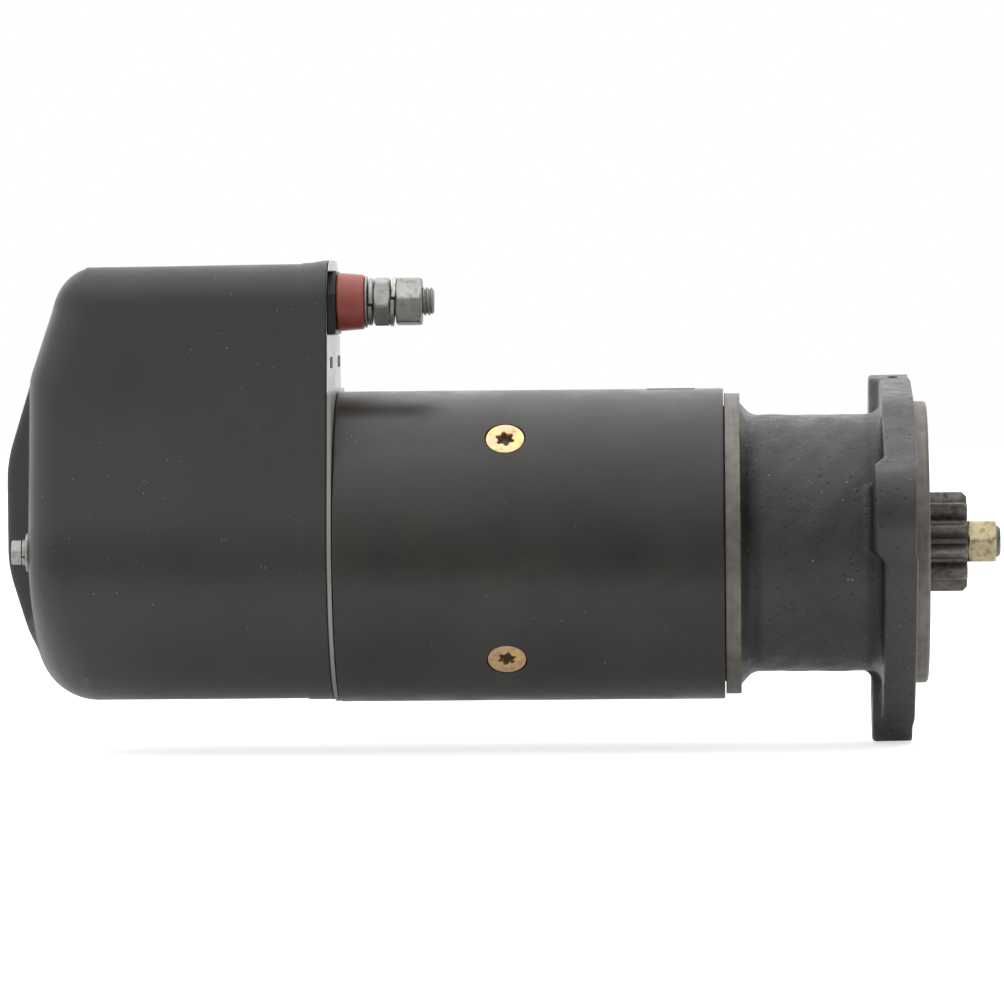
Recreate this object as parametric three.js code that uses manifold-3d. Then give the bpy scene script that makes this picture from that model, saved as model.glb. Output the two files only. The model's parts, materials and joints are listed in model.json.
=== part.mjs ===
// Heavy-duty starter motor with a coaxial sliding drive, for a large diesel engine.
// Millimetres. X runs along the motor axis with the pinion towards +X, and Z is up.
// The origin is the centre of the mounting flange's face, on the motor axis.
import * as THREE from "three";
import { mergeVertices } from "three/addons/utils/BufferGeometryUtils.js";
import Module from "manifold-3d";

const wasm = await Module();
wasm.setup();

// Driving dimensions
const GAP = 0.3; // between pieces that touch or run in each other
const FINE = 32; // facets round a large turned piece
const COARSE = 16; // facets round a small one

const FRAME = { rear: -240.2, front: -79.1, outer: 65, inner: 58 };
const RIM = { rear: -78.8, front: -72.3, radius: 62.9 };
const NECK_RADIUS = 53.7;
const FLANGE = { back: -13.5, radius: 62.3, pilotRadius: 58.9, pilotFront: 5.5 };
const LUG = { back: -17.5, face: -0.8, circle: 68, radius: 19.6, padHalf: 14, hole: 6.5, angles: [12.7, 132.7, 252.7] };
const CAVITY_RADIUS = 46.7;

const BEARING = { rear: -45.7, front: -14.3, radius: 17 };
const SEAL = { rear: -13.7, front: -7.3, radius: 19 };
const PINION = { rear: -1.2, front: 22.1, teeth: 11, module: 3, shift: 0.47, pressure: 20, turn: -2.6 };
const PINION_BORE = 22.6; // in the nose, round the pinion
const PINION_NUT = { rear: 22.4, front: 34.4, flats: 17, turn: 12 };
const SPINDLE = { rear: -88.5, hubFront: -70, hubRadius: 31.5, radius: 12, seat: 9, thread: 6.6, tip: 36.2 };

const POLE_ANGLES = [45, 135, 225, 315];
const POLE = { rear: -186, front: -108, inner: 42.3, outer: 57.7, halfWidth: 17, tipAngle: 33, tip: 3.6 };
const POLE_SCREW = { x: -169.2, head: 8.05, shank: 5, seat: 64.5, end: 49 };
const COIL = { rear: -200, front: -94, inner: 47, outer: 57.4, halfAngle: 39.5 };
const LINK_RING = { rear: -203, outer: 49 };
const THROUGH_BOLT = { radius: 52.5, shank: 2.9, head: 5, front: -76, angles: [0, 180] };

const SHAFT = { rear: -257.5, front: -89.2, radius: 11, bore: 5.5 };
const CORE = { rear: -185, front: -109, radius: 41, slots: 16, slotFloor: 31, slotWidth: 7 };
const WINDING = { rear: -197, front: -97, inner: 30.5, outer: 40 };
const COMMUTATOR = { rear: -231, front: -197.6, radius: 24, riser: 28, riserRear: -202 };
const CLUTCH = { rear: -94, wallFront: -89.1, front: -46, outer: 36, inner: 32 };
const BRUSH = { length: 16, width: 9, rear: -228, front: -208, height: 37 };
const BRUSH_PLATE = { rear: -239.8, front: -236.5, outer: 49, bore: 29 };

// The rear cover's section: a round lower part with two smaller rounded corners above it.
const SECTION = { lower: 64, corner: 20, cornerY: 24, cornerZ: 99 };
const SHIELD = { spigotRear: -250, rimRear: -242.3, rimFront: -240.5, face: -241.9, faceFrom: 66, proud: 0.7 };
const SHIELD_HUB = { rear: -261, boreRear: -258.5, outer: 18, bore: 14.8, eye: 5 };
const COVER = { lip: -242.6, rear: -366.6, wall: 1.5, sideRadius: 14, topRadius: 12, bottomRadius: 28 };
const SLOPE = { from: 73, run: 0.305 }; // the rear wall leans forward above this height
const RIDGE = { rear: -377.6, top: 37, bottom: -6.5, halfWidth: 26 };
const COVER_SCREW = { y: 40, flats: 10, head: 4, shank: 2.9, end: -353 };
const COVER_WASHER = { flat: 8, flatDepth: 1.2, spring: 5.3, springDepth: 2 };

const TERMINAL = { z: 102.5, plateBottom: 89.1, plateTop: 115.4, plateNear: -12.5, plateFar: 33, chamfer: 9.4 };
const PLATE = { rear: -247, step: -243.9, front: -240.5 };
const CONTROL = { y: 24, z: 101, radius: 5.2, stud: 2.5, tip: -222, flats: 8 };
// The main terminal's stack, from the plate forwards
const INSULATOR = { rear: -240.2, front: -228.8, wide: 12.3, narrow: 11.5 };
const STUD = { rear: -262, tip: -199.7, radius: 6 };
const NUT = { flats: 19, jamRear: -224.8, jamFront: -217.9, outerRear: -215.6, outerFront: -204.6 };
const WASHER = { rear: -228.5, front: -227.6, radius: 10.8 };
const SPRING_WASHER = { rear: -227.3, front: -225.1, radius: 9.9 };
const LUG_WASHER = { middle: -216.75, half: 0.8, radius: 10.6 };

const SOLENOID = { rear: -357, front: -250.4, outer: 36, inner: 33.5, wall: 5 };
const PLUNGER = { rear: -372, front: -303, radius: 14 };
const ROD = { rear: -302.7, front: -88.8, radius: 3.9 };
const RELAY = { z: 84, rear: -345, front: -286, outer: 18, inner: 16.3, travel: 2.5 };
const CONTACT_REAR = -270;

// Finishes: [colour, roughness, metalness]
const FINISH = {
  blackPaint: [0x2b2b2c, 0.5, 0.2],
  greyPaint: [0x474646, 0.45, 0.2],
  castIron: [0x33322f, 0.55, 0.3],
  aluminium: [0xc9c7c1, 0.4, 0.9],
  zinc: [0xb4b7b5, 0.35, 0.9],
  yellowZinc: [0xb99a4c, 0.35, 0.9],
  steel: [0x6b665c, 0.4, 0.9],
  laminations: [0x55575a, 0.5, 0.8],
  copper: [0xb06a42, 0.35, 0.9],
  bronze: [0xa5814f, 0.4, 0.9],
  carbon: [0x333333, 0.8, 0.1],
  redPlastic: [0x8c3f3a, 0.45, 0],
  blackPlastic: [0x242322, 0.5, 0],
  rubber: [0x1d1d1d, 0.85, 0],
  label: [0xd8d4d0, 0.5, 0],
};

const radians = THREE.MathUtils.degToRad;
const motor = new THREE.Group();

// Puts one named piece into the motor.
function add(name, geometry, finish) {
  const [color, roughness, metalness] = FINISH[finish];
  const material = new THREE.MeshStandardMaterial({ color, roughness, metalness });
  const mesh = new THREE.Mesh(geometry, material);
  mesh.name = name;
  motor.add(mesh);
}

// Joining and cutting: geometry to solid, and solid back to geometry.
function solid(geometry) {
  const bare = geometry.clone();
  for (const key of Object.keys(bare.attributes)) {
    if (key !== "position") bare.deleteAttribute(key);
  }
  const merged = mergeVertices(bare, 1e-4);
  return new wasm.Manifold(
    new wasm.Mesh({
      numProp: 3,
      vertProperties: merged.attributes.position.array,
      triVerts: new Uint32Array(merged.index.array),
    }),
  );
}

function geometryOf(made) {
  const mesh = made.getMesh();
  const geometry = new THREE.BufferGeometry();
  geometry.setAttribute("position", new THREE.BufferAttribute(mesh.vertProperties, 3));
  geometry.setIndex(new THREE.BufferAttribute(mesh.triVerts, 1));
  geometry.computeVertexNormals();
  return geometry;
}

function join(...geometries) {
  return geometryOf(geometries.map(solid).reduce((a, b) => a.add(b)));
}

function cut(geometry, ...tools) {
  return geometryOf(tools.map(solid).reduce((a, b) => a.subtract(b), solid(geometry)));
}

function common(...geometries) {
  return geometryOf(geometries.map(solid).reduce((a, b) => a.intersect(b)));
}

// A solid of revolution about the motor axis, from a profile of [x, radius] points.
// The profile starts and ends on the axis, or else it is closed on itself.
function turned(profile, segments = FINE) {
  const points = profile.map(([x, r]) => new THREE.Vector2(r, x));
  if (THREE.ShapeUtils.area(points) < 0) points.reverse();
  if (points.some((p) => p.x > 0) && points[0].x > 0) points.push(points[0].clone());
  return new THREE.LatheGeometry(points, segments).rotateZ(-Math.PI / 2);
}

function tube(rear, front, outer, inner, segments = FINE) {
  return turned([[rear, inner], [rear, outer], [front, outer], [front, inner]], segments);
}

function rod(rear, front, radius, segments = COARSE) {
  return turned([[rear, 0], [rear, radius], [front, radius], [front, 0]], segments);
}

function block(x, y, z) {
  const box = new THREE.BoxGeometry(x[1] - x[0], y[1] - y[0], z[1] - z[0]);
  return box.translate((x[0] + x[1]) / 2, (y[0] + y[1]) / 2, (z[0] + z[1]) / 2);
}

// A prism along X of an outline drawn in Y and Z.
function alongX(shape, rear, front, curveSegments = 4) {
  const depth = front - rear;
  const geometry = new THREE.ExtrudeGeometry(shape, { depth, bevelEnabled: false, curveSegments });
  const turn = new THREE.Matrix4().makeBasis(
    new THREE.Vector3(0, 1, 0),
    new THREE.Vector3(0, 0, 1),
    new THREE.Vector3(1, 0, 0),
  );
  return geometry.applyMatrix4(turn).translate(rear, 0, 0);
}

// A prism along Y of an outline drawn in X and Z, reaching as far each side of the middle.
function alongY(shape, half, curveSegments = 6) {
  const depth = 2 * half;
  const geometry = new THREE.ExtrudeGeometry(shape, { depth, bevelEnabled: false, curveSegments });
  return geometry.rotateX(Math.PI / 2).translate(0, half, 0);
}

// An outline through corners [a, b, radius], each rounded by its radius in a few steps.
function rounded(corners, steps = 4) {
  const points = corners.flatMap(([a, b, radius], i) => {
    const corner = new THREE.Vector2(a, b);
    if (!radius) return [corner];
    const count = corners.length;
    const [beforeA, beforeB] = corners[(i + count - 1) % count];
    const [afterA, afterB] = corners[(i + 1) % count];
    const before = new THREE.Vector2(beforeA, beforeB).sub(corner).normalize();
    const after = new THREE.Vector2(afterA, afterB).sub(corner).normalize();
    const half = Math.acos(before.dot(after)) / 2;
    const reach = radius / Math.tan(half);
    const middle = before.clone().add(after).normalize();
    const centre = corner.clone().addScaledVector(middle, radius / Math.sin(half));
    const start = corner.clone().addScaledVector(before, reach).sub(centre).angle();
    const end = corner.clone().addScaledVector(after, reach).sub(centre).angle();
    const clockwise = before.cross(after) > 0;
    const arc = new THREE.EllipseCurve(centre.x, centre.y, radius, radius, start, end, clockwise);
    return arc.getPoints(steps);
  });
  return new THREE.Shape(points);
}

// A turn about the motor axis: 0 is towards +Y and 90 is up.
function spun(geometry, degrees) {
  return geometry.rotateX(radians(degrees));
}

function hexagon(flats) {
  const radius = flats / Math.sqrt(3);
  const corners = Array.from({ length: 6 }, (_, i) => {
    const angle = radians(60 * i + 90);
    return new THREE.Vector2(radius * Math.cos(angle), radius * Math.sin(angle));
  });
  return new THREE.Shape(corners);
}

// A hexagon nut with chamfered ends, on the X axis.
function nut(rear, front, flats, bore, turn = 0) {
  const corner = flats / Math.sqrt(3);
  const drop = corner - flats / 2;
  const blank = turned([
    [rear, bore], [rear, flats / 2], [rear + drop * 0.6, corner + 0.05],
    [front - drop * 0.6, corner + 0.05], [front, flats / 2], [front, bore],
  ], COARSE);
  return spun(common(alongX(hexagon(flats), rear, front), blank), turn);
}

// The section of the rear cover and of the shield it closes on, grown or shrunk by an offset.
function section(offset = 0) {
  const { lower, corner, cornerY, cornerZ } = SECTION;
  // The straight flank touches both arcs where y cos(lean) + z sin(lean) = lower radius.
  const lean = Math.asin((lower - corner) / Math.hypot(cornerY, cornerZ)) - Math.atan2(cornerY, cornerZ);
  const shape = new THREE.Shape();
  shape.absarc(cornerY, cornerZ, corner + offset, lean, Math.PI / 2, false);
  shape.absarc(-cornerY, cornerZ, corner + offset, Math.PI / 2, Math.PI - lean, false);
  shape.absarc(0, 0, lower + offset, Math.PI - lean, 2 * Math.PI + lean, false);
  return shape;
}

// A round end of the ear's radius, with straight sides back to a neck given by its middle and half width.
function earOutline(spread, neck, halfWidth) {
  const tip = new THREE.EllipseCurve(LUG.circle, 0, LUG.radius, LUG.radius, -spread, spread);
  return new THREE.Shape([
    new THREE.Vector2(neck, -halfWidth),
    ...tip.getPoints(12),
    new THREE.Vector2(neck, halfWidth),
  ]);
}

// One of the flange's ears: a web tangent to the flange's circle, and a thicker pad round its bolt hole.
function lug(angle) {
  const touch = Math.acos((FLANGE.radius - LUG.radius) / LUG.circle);
  const web = earOutline(touch, FLANGE.radius * Math.cos(touch), FLANGE.radius * Math.sin(touch));
  const pad = earOutline(radians(80), 38, LUG.padHalf);
  const ear = join(alongX(web, FLANGE.back, LUG.face), alongX(pad, LUG.back, LUG.face));
  return spun(ear, 180 - angle);
}

function boltHole(angle) {
  const hole = rod(LUG.back - 5, LUG.face + 5, LUG.hole).translate(0, LUG.circle, 0);
  return spun(hole, 180 - angle);
}

function driveEndHousing() {
  const body = turned([
    [-84, 57.7], [RIM.rear, 57.7], [RIM.rear, RIM.radius], [RIM.front, RIM.radius],
    [-69, 57.2], [-64.5, NECK_RADIUS], [-21, NECK_RADIUS], [-16, 55.6],
    [FLANGE.back, FLANGE.radius], [0, FLANGE.radius], [0, FLANGE.pilotRadius],
    [FLANGE.pilotFront - 1.2, FLANGE.pilotRadius], [FLANGE.pilotFront, FLANGE.pilotRadius - 1.2],
    [FLANGE.pilotFront, 50], [2.5, 48], [2.5, 33], [FLANGE.pilotFront, 31],
    [FLANGE.pilotFront, PINION_BORE], [SEAL.front + GAP, PINION_BORE],
    [SEAL.front + GAP, SEAL.radius + GAP], [BEARING.front + GAP, SEAL.radius + GAP],
    [BEARING.front + GAP, BEARING.radius + GAP], [BEARING.rear - GAP, BEARING.radius + GAP],
    [BEARING.rear - GAP, 24], [-15, 24], [-15, CAVITY_RADIUS], [-84, CAVITY_RADIUS],
  ]);
  const core = rod(-79, FLANGE.pilotFront + 1, CAVITY_RADIUS - 2, FINE);
  const lugs = LUG.angles.map((angle) => cut(lug(angle), core));
  const tappedHoles = THROUGH_BOLT.angles.map((angle) => {
    const { radius, shank, front } = THROUGH_BOLT;
    return spun(rod(-90, front + GAP, shank + GAP, 12).translate(0, radius, 0), angle);
  });
  return cut(join(body, ...lugs), ...LUG.angles.map(boltHole), ...tappedHoles);
}

// One gear tooth's half thickness, as an angle, at a radius on the involute.
function toothHalfAngle(radius) {
  const { teeth, module, shift, pressure } = PINION;
  const pitch = (teeth * module) / 2;
  const involute = (angle) => Math.tan(angle) - angle;
  const base = pitch * Math.cos(radians(pressure));
  const thickness = module * (Math.PI / 2 + 2 * shift * Math.tan(radians(pressure)));
  const here = Math.acos(Math.min(1, base / radius));
  return thickness / (2 * pitch) + involute(radians(pressure)) - involute(here);
}

function pinion() {
  const { teeth, module, shift, pressure } = PINION;
  const pitch = (teeth * module) / 2;
  const tip = pitch + module * (1 + shift);
  const root = pitch - module * (1.25 - shift);
  const base = pitch * Math.cos(radians(pressure));
  const flank = Array.from({ length: 5 }, (_, i) => base + ((tip - base) * i) / 4);
  const outline = [];
  for (let i = 0; i < teeth; i += 1) {
    const middle = (i / teeth) * 2 * Math.PI;
    const side = [[root, toothHalfAngle(base) + 0.02], ...flank.map((r) => [r, toothHalfAngle(r)])];
    const rising = side.map(([r, half]) => [r, middle - half]);
    const falling = side.map(([r, half]) => [r, middle + half]).reverse();
    outline.push(...rising, ...falling);
  }
  const points = outline.map(([r, a]) => new THREE.Vector2(r * Math.cos(a), r * Math.sin(a)));
  const gear = alongX(new THREE.Shape(points), PINION.rear, PINION.front);
  const blank = turned([
    [PINION.rear, SPINDLE.seat + GAP], [PINION.rear, tip + 0.1], [PINION.front - 1.8, tip + 0.1],
    [PINION.front, tip - 1.8], [PINION.front, SPINDLE.seat + GAP],
  ]);
  return spun(common(gear, blank), PINION.turn);
}

function driveSpindle() {
  return turned([
    [SPINDLE.rear, 0], [SPINDLE.rear, SPINDLE.hubRadius], [SPINDLE.hubFront, SPINDLE.hubRadius],
    [SPINDLE.hubFront, 16], [SPINDLE.hubFront + 1.5, SPINDLE.radius],
    [PINION.rear - GAP, SPINDLE.radius], [PINION.rear - GAP, SPINDLE.seat],
    [PINION.front, SPINDLE.seat], [PINION.front, SPINDLE.thread],
    [SPINDLE.tip - 1.2, SPINDLE.thread], [SPINDLE.tip, SPINDLE.thread - 1.2], [SPINDLE.tip, 0],
  ]);
}

function driveEnd() {
  add("drive_end_housing", driveEndHousing(), "castIron");
  add("drive_end_bearing", tube(BEARING.rear, BEARING.front, BEARING.radius, SPINDLE.radius + GAP), "bronze");
  add("shaft_seal", tube(SEAL.rear, SEAL.front, SEAL.radius, SPINDLE.radius + GAP), "rubber");
  add("drive_spindle", driveSpindle(), "steel");
  add("pinion", pinion(), "steel");
  const { rear, front, flats, turn } = PINION_NUT;
  add("pinion_nut", nut(rear, front, flats, SPINDLE.thread + GAP, turn), "yellowZinc");
}

// A sector of a ring in Y and Z, centred on +Y.
function sector(inner, outer, halfAngle) {
  const half = radians(halfAngle);
  const shape = new THREE.Shape();
  shape.absarc(0, 0, outer, -half, half, false);
  shape.absarc(0, 0, inner, half, -half, true);
  shape.closePath();
  return shape;
}

// Moves a piece made about X so that it points out from the motor along +Y.
function radial(geometry) {
  return geometry.rotateZ(Math.PI / 2);
}

function poleScrewSpace(clearance) {
  const { head, shank, seat, end } = POLE_SCREW;
  const depth = head - shank;
  return [
    [end - clearance, 0], [end - clearance, shank + clearance],
    [seat - 0.6 - depth, shank + clearance], [seat - 0.6, head + clearance],
  ];
}

function poleScrew() {
  const { head, seat } = POLE_SCREW;
  const body = turned([...poleScrewSpace(0), [seat, head], [seat, 0]], COARSE);
  const lobes = Array.from({ length: 12 }, (_, i) => {
    const radius = i % 2 ? 2.5 : 3.4;
    const angle = (i / 12) * 2 * Math.PI;
    return new THREE.Vector2(radius * Math.cos(angle), radius * Math.sin(angle));
  });
  const recess = alongX(new THREE.Shape(lobes), seat - 3.2, seat + 1);
  return radial(cut(body, recess)).translate(POLE_SCREW.x, 0, 0);
}

function poleScrewHole() {
  const { head, seat } = POLE_SCREW;
  const hole = turned([...poleScrewSpace(GAP), [seat + 3, head + GAP], [seat + 3, 0]], COARSE);
  return radial(hole).translate(POLE_SCREW.x, 0, 0);
}

function fieldFrame() {
  const shell = tube(FRAME.rear, FRAME.front, FRAME.outer, FRAME.inner, 48);
  return cut(shell, ...POLE_ANGLES.map((angle) => spun(poleScrewHole(), angle)));
}

function poleShoe() {
  const { rear, front, inner, outer, halfWidth, tipAngle, tip } = POLE;
  const stem = common(
    alongX(sector(inner, outer, tipAngle), rear, front),
    block([rear, front], [0, outer + 1], [-halfWidth, halfWidth]),
  );
  const face = alongX(sector(inner, inner + tip, tipAngle), rear, front);
  return cut(join(stem, face), poleScrewHole());
}

function fieldWinding() {
  const { rear, front, inner, outer, halfAngle } = COIL;
  const side = POLE.halfWidth + GAP;
  const windings = POLE_ANGLES.map((angle) => {
    const body = alongX(sector(inner, outer, halfAngle), rear, front);
    const window = block([POLE.rear - GAP, POLE.front + GAP], [0, outer + 5], [-side, side]);
    return spun(cut(body, window), angle);
  });
  const links = tube(LINK_RING.rear, rear + 2, LINK_RING.outer, inner);
  return join(links, ...windings);
}

function throughBolt() {
  const { radius, shank, head, front } = THROUGH_BOLT;
  return join(rod(-250, -244, head, 12), rod(-246, front, shank, 12)).translate(0, radius, 0);
}

function field() {
  add("field_frame", fieldFrame(), "blackPaint");
  add("field_winding", fieldWinding(), "copper");
  POLE_ANGLES.forEach((angle, i) => {
    add(`pole_shoe_${i + 1}`, spun(poleShoe(), angle), "steel");
    add(`pole_screw_${i + 1}`, spun(poleScrew(), angle), "yellowZinc");
  });
  THROUGH_BOLT.angles.forEach((angle, i) => {
    add(`through_bolt_${i + 1}`, spun(throughBolt(), angle), "zinc");
  });
  const label = common(
    tube(-111, -91, FRAME.outer + 0.75, FRAME.outer + GAP, 48),
    block([-120, -80], [-3, 20], [50, 80]),
  );
  add("rating_plate", label, "label");
}

function slot(width, floor, top, rear, front) {
  return block([rear, front], [floor, top], [-width / 2, width / 2]);
}

function slotAngles() {
  return Array.from({ length: CORE.slots }, (_, i) => (i * 360) / CORE.slots);
}

function armatureCore() {
  const { rear, front, radius, slotFloor, slotWidth } = CORE;
  const stack = tube(rear, front, radius, SHAFT.radius + GAP);
  const tools = slotAngles().map((angle) => {
    return spun(slot(slotWidth, slotFloor, radius + 5, rear - 1, front + 1), angle);
  });
  return cut(stack, ...tools);
}

function armatureWinding() {
  const { rear, front, inner, outer } = WINDING;
  const bars = slotAngles().map((angle) => {
    const width = CORE.slotWidth - 2 * GAP;
    return spun(slot(width, CORE.slotFloor + GAP, outer - 1, CORE.rear - 2, CORE.front + 2), angle);
  });
  const rearRing = tube(rear, CORE.rear - GAP, outer, inner);
  const frontRing = tube(CORE.front + GAP, front, outer, inner);
  return join(rearRing, frontRing, ...bars);
}

function clutchDrum() {
  const bore = SHAFT.radius + GAP;
  const { rear, wallFront, front, outer, inner } = CLUTCH;
  return turned([
    [rear, bore], [rear, outer], [front, outer], [front, inner], [wallFront, inner], [wallFront, bore],
  ]);
}

function commutator() {
  const bore = SHAFT.radius + GAP;
  const { rear, front, radius, riser, riserRear } = COMMUTATOR;
  return turned([
    [rear, bore], [rear, radius - 1], [rear + 1, radius], [riserRear, radius], [riserRear, riser],
    [front, riser], [front, bore],
  ]);
}

function brushSpace(clearance, top) {
  const side = BRUSH.width / 2 + clearance;
  return block([BRUSH.rear - clearance, BRUSH.front + clearance], [COMMUTATOR.radius - 2, top], [-side, side]);
}

function brush() {
  const blank = brushSpace(0, COMMUTATOR.radius + GAP + BRUSH.length);
  return cut(blank, rod(BRUSH.rear - 2, BRUSH.front + 2, COMMUTATOR.radius + GAP, 64));
}

// A spring finger that bears on the brush's outer end.
function brushSpring() {
  const low = COMMUTATOR.radius + GAP + BRUSH.length + GAP;
  const finger = block([-224, -212], [low, low + 1.5], [-3, 3]);
  const post = block([BRUSH_PLATE.front + GAP, -222], [low + 1, low + 4], [-3, 3]);
  return join(finger, post);
}

function brushPlate() {
  const { rear, front, outer, bore } = BRUSH_PLATE;
  const plate = tube(rear, front, outer, bore);
  const boxes = POLE_ANGLES.map((angle) => {
    const side = BRUSH.width / 2 + 2;
    const box = block([front - 1, BRUSH.front + 2], [COMMUTATOR.radius + 2, BRUSH.height], [-side, side]);
    return spun(cut(box, brushSpace(GAP, 60)), angle);
  });
  return join(plate, ...boxes);
}

function armature() {
  add("armature_shaft", tube(SHAFT.rear, SHAFT.front, SHAFT.radius, SHAFT.bore, COARSE * 2), "steel");
  add("armature_core", armatureCore(), "laminations");
  add("armature_winding", armatureWinding(), "copper");
  add("commutator", commutator(), "copper");
  add("clutch_drum", clutchDrum(), "steel");
  add("brush_plate", brushPlate(), "zinc");
  POLE_ANGLES.forEach((angle, i) => {
    add(`brush_${i + 1}`, spun(brush(), angle), "carbon");
    add(`brush_spring_${i + 1}`, spun(brushSpring(), angle), "steel");
  });
}

// The terminal plate's outline in Y and Z, with its two upper corners cut off.
function plateOutline(near, far, bottom, top, chamfer) {
  return new THREE.Shape([
    new THREE.Vector2(near, bottom),
    new THREE.Vector2(far, bottom),
    new THREE.Vector2(far, top - chamfer),
    new THREE.Vector2(far - chamfer, top),
    new THREE.Vector2(near + chamfer, top),
    new THREE.Vector2(near, top - chamfer),
  ]);
}

function terminalWindow(clearance, rear, front) {
  const { plateNear, plateFar, plateBottom, plateTop } = TERMINAL;
  const inset = 2.5 - clearance;
  return alongX(
    plateOutline(plateNear + inset, plateFar - inset, plateBottom + inset, plateTop - inset, 8),
    rear, front,
  );
}

function commutatorEndShield() {
  const { spigotRear, rimRear, rimFront, face, faceFrom, proud } = SHIELD;
  const { plateBottom, plateTop } = TERMINAL;
  const rim = alongX(section(proud), rimRear, rimFront, 8);
  const spigot = alongX(section(-COVER.wall - 0.5), spigotRear, rimRear + 1, 8);
  const hub = tube(SHIELD_HUB.rear, rimRear, SHIELD_HUB.outer, SHIELD_HUB.eye);
  const body = join(rim, spigot, hub);
  const front = rimFront + 1;
  const seat = block([PLATE.step - GAP, front], [-80, 80], [plateBottom - GAP, plateTop + GAP]);
  const upper = block([face, front], [-80, 80], [faceFrom, plateTop + 20]);
  const bolts = THROUGH_BOLT.angles.map((angle) => {
    const { radius, shank, head } = THROUGH_BOLT;
    const space = join(rod(-251, -243.7, head + GAP, 12), rod(-252, -239, shank + GAP, 12));
    return spun(space.translate(0, radius, 0), angle);
  });
  const bore = rod(SHIELD_HUB.boreRear, front, SHIELD_HUB.bore, FINE);
  const eye = rod(SHIELD_HUB.rear - 1, front, SHIELD_HUB.eye);
  return cut(body, seat, upper, terminalWindow(GAP, spigotRear - 1, rimFront), bore, eye, ...bolts);
}

function terminalPlate() {
  const { z, plateNear, plateFar, plateBottom, plateTop, chamfer } = TERMINAL;
  const outline = plateOutline(plateNear, plateFar, plateBottom, plateTop, chamfer);
  const front = alongX(outline, PLATE.step, PLATE.front);
  const rear = terminalWindow(0, PLATE.rear, PLATE.step + 1);
  const main = rod(PLATE.rear - 1, PLATE.front + 1, STUD.radius + GAP).translate(0, 0, z);
  const control = rod(PLATE.rear - 1, PLATE.front + 1, CONTROL.stud + GAP, 12);
  return cut(join(front, rear), main, control.translate(0, CONTROL.y, CONTROL.z));
}

function lugWasher() {
  const { middle, half, radius } = LUG_WASHER;
  return tube(middle - half, middle + half, radius, STUD.radius + 0.9, COARSE);
}

function insulator() {
  const { rear, front, wide, narrow } = INSULATOR;
  const bore = STUD.radius + GAP;
  return turned([
    [rear, bore], [rear, wide], [front - 0.4, narrow], [front, narrow - 0.5], [front, bore],
  ]);
}

function terminals() {
  const bore = STUD.radius + GAP;
  const up = (geometry) => geometry.translate(0, 0, TERMINAL.z);
  const ring = ({ rear, front, radius }) => tube(rear, front, radius, bore, COARSE);
  const chamfer = 1.2;
  const stud = turned([
    [STUD.rear, 0], [STUD.rear, STUD.radius], [STUD.tip - chamfer, STUD.radius],
    [STUD.tip, STUD.radius - chamfer], [STUD.tip, 0],
  ], COARSE);
  add("terminal_plate", terminalPlate(), "blackPlastic");
  add("terminal_insulator", up(insulator()), "redPlastic");
  add("terminal_stud", up(stud), "zinc");
  add("terminal_washer", up(ring(WASHER)), "zinc");
  add("terminal_spring_washer", up(ring(SPRING_WASHER)), "zinc");
  add("terminal_jam_nut", up(nut(NUT.jamRear, NUT.jamFront, NUT.flats, bore, 24)), "zinc");
  add("terminal_lug_washer", up(lugWasher()), "yellowZinc");
  add("terminal_outer_nut", up(nut(NUT.outerRear, NUT.outerFront, NUT.flats, bore, 8)), "zinc");
}

function controlTerminal() {
  const { y, z, radius, stud, tip, flats } = CONTROL;
  const place = (geometry) => geometry.translate(0, y, z);
  const bore = stud + GAP;
  const collar = tube(INSULATOR.rear, tip - 10.4, radius, bore, COARSE);
  add("control_terminal_insulator", place(collar), "redPlastic");
  add("control_terminal_stud", place(rod(-256, tip, stud, 12)), "zinc");
  add("control_terminal_nut", place(nut(tip - 10.1, tip - 6.1, flats, bore)), "zinc");
}

function commutatorEnd() {
  add("commutator_end_shield", commutatorEndShield(), "aluminium");
  add("commutator_end_bush", tube(-258, -243, SHIELD_HUB.bore - GAP, SHAFT.radius + GAP), "bronze");
  terminals();
  controlTerminal();
}

// An open cup with two ears that the cover's screws pull on.
function solenoidCase() {
  const { rear, front, outer, inner, wall } = SOLENOID;
  const cup = turned([
    [rear, PLUNGER.radius + GAP], [rear, outer], [front, outer], [front, inner],
    [rear + wall, inner], [rear + wall, PLUNGER.radius + GAP],
  ]);
  const ears = cut(
    block([rear, rear + wall], [-COVER_SCREW.y - 7, COVER_SCREW.y + 7], [-9, 9]),
    rod(rear - 1, rear + wall + 1, inner - 2, FINE),
  );
  const holes = [-1, 1].map((side) => {
    return rod(rear - 2, rear + 8, COVER_SCREW.shank + GAP, 12).translate(0, side * COVER_SCREW.y, 0);
  });
  return cut(join(cup, ears), ...holes);
}

function engagement() {
  const { rear, wall, inner } = SOLENOID;
  add("solenoid_case", solenoidCase(), "steel");
  add("solenoid_coil", tube(rear + wall + GAP, -275, inner - GAP, PLUNGER.radius + 1.5), "copper");
  add("solenoid_plunger", rod(PLUNGER.rear, PLUNGER.front, PLUNGER.radius, FINE), "steel");
  add("engagement_rod", rod(ROD.rear, ROD.front, ROD.radius), "steel");
  add("return_spring", tube(PLUNGER.front + GAP, SHIELD_HUB.rear - GAP, 9, 6.2), "steel");
}

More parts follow.
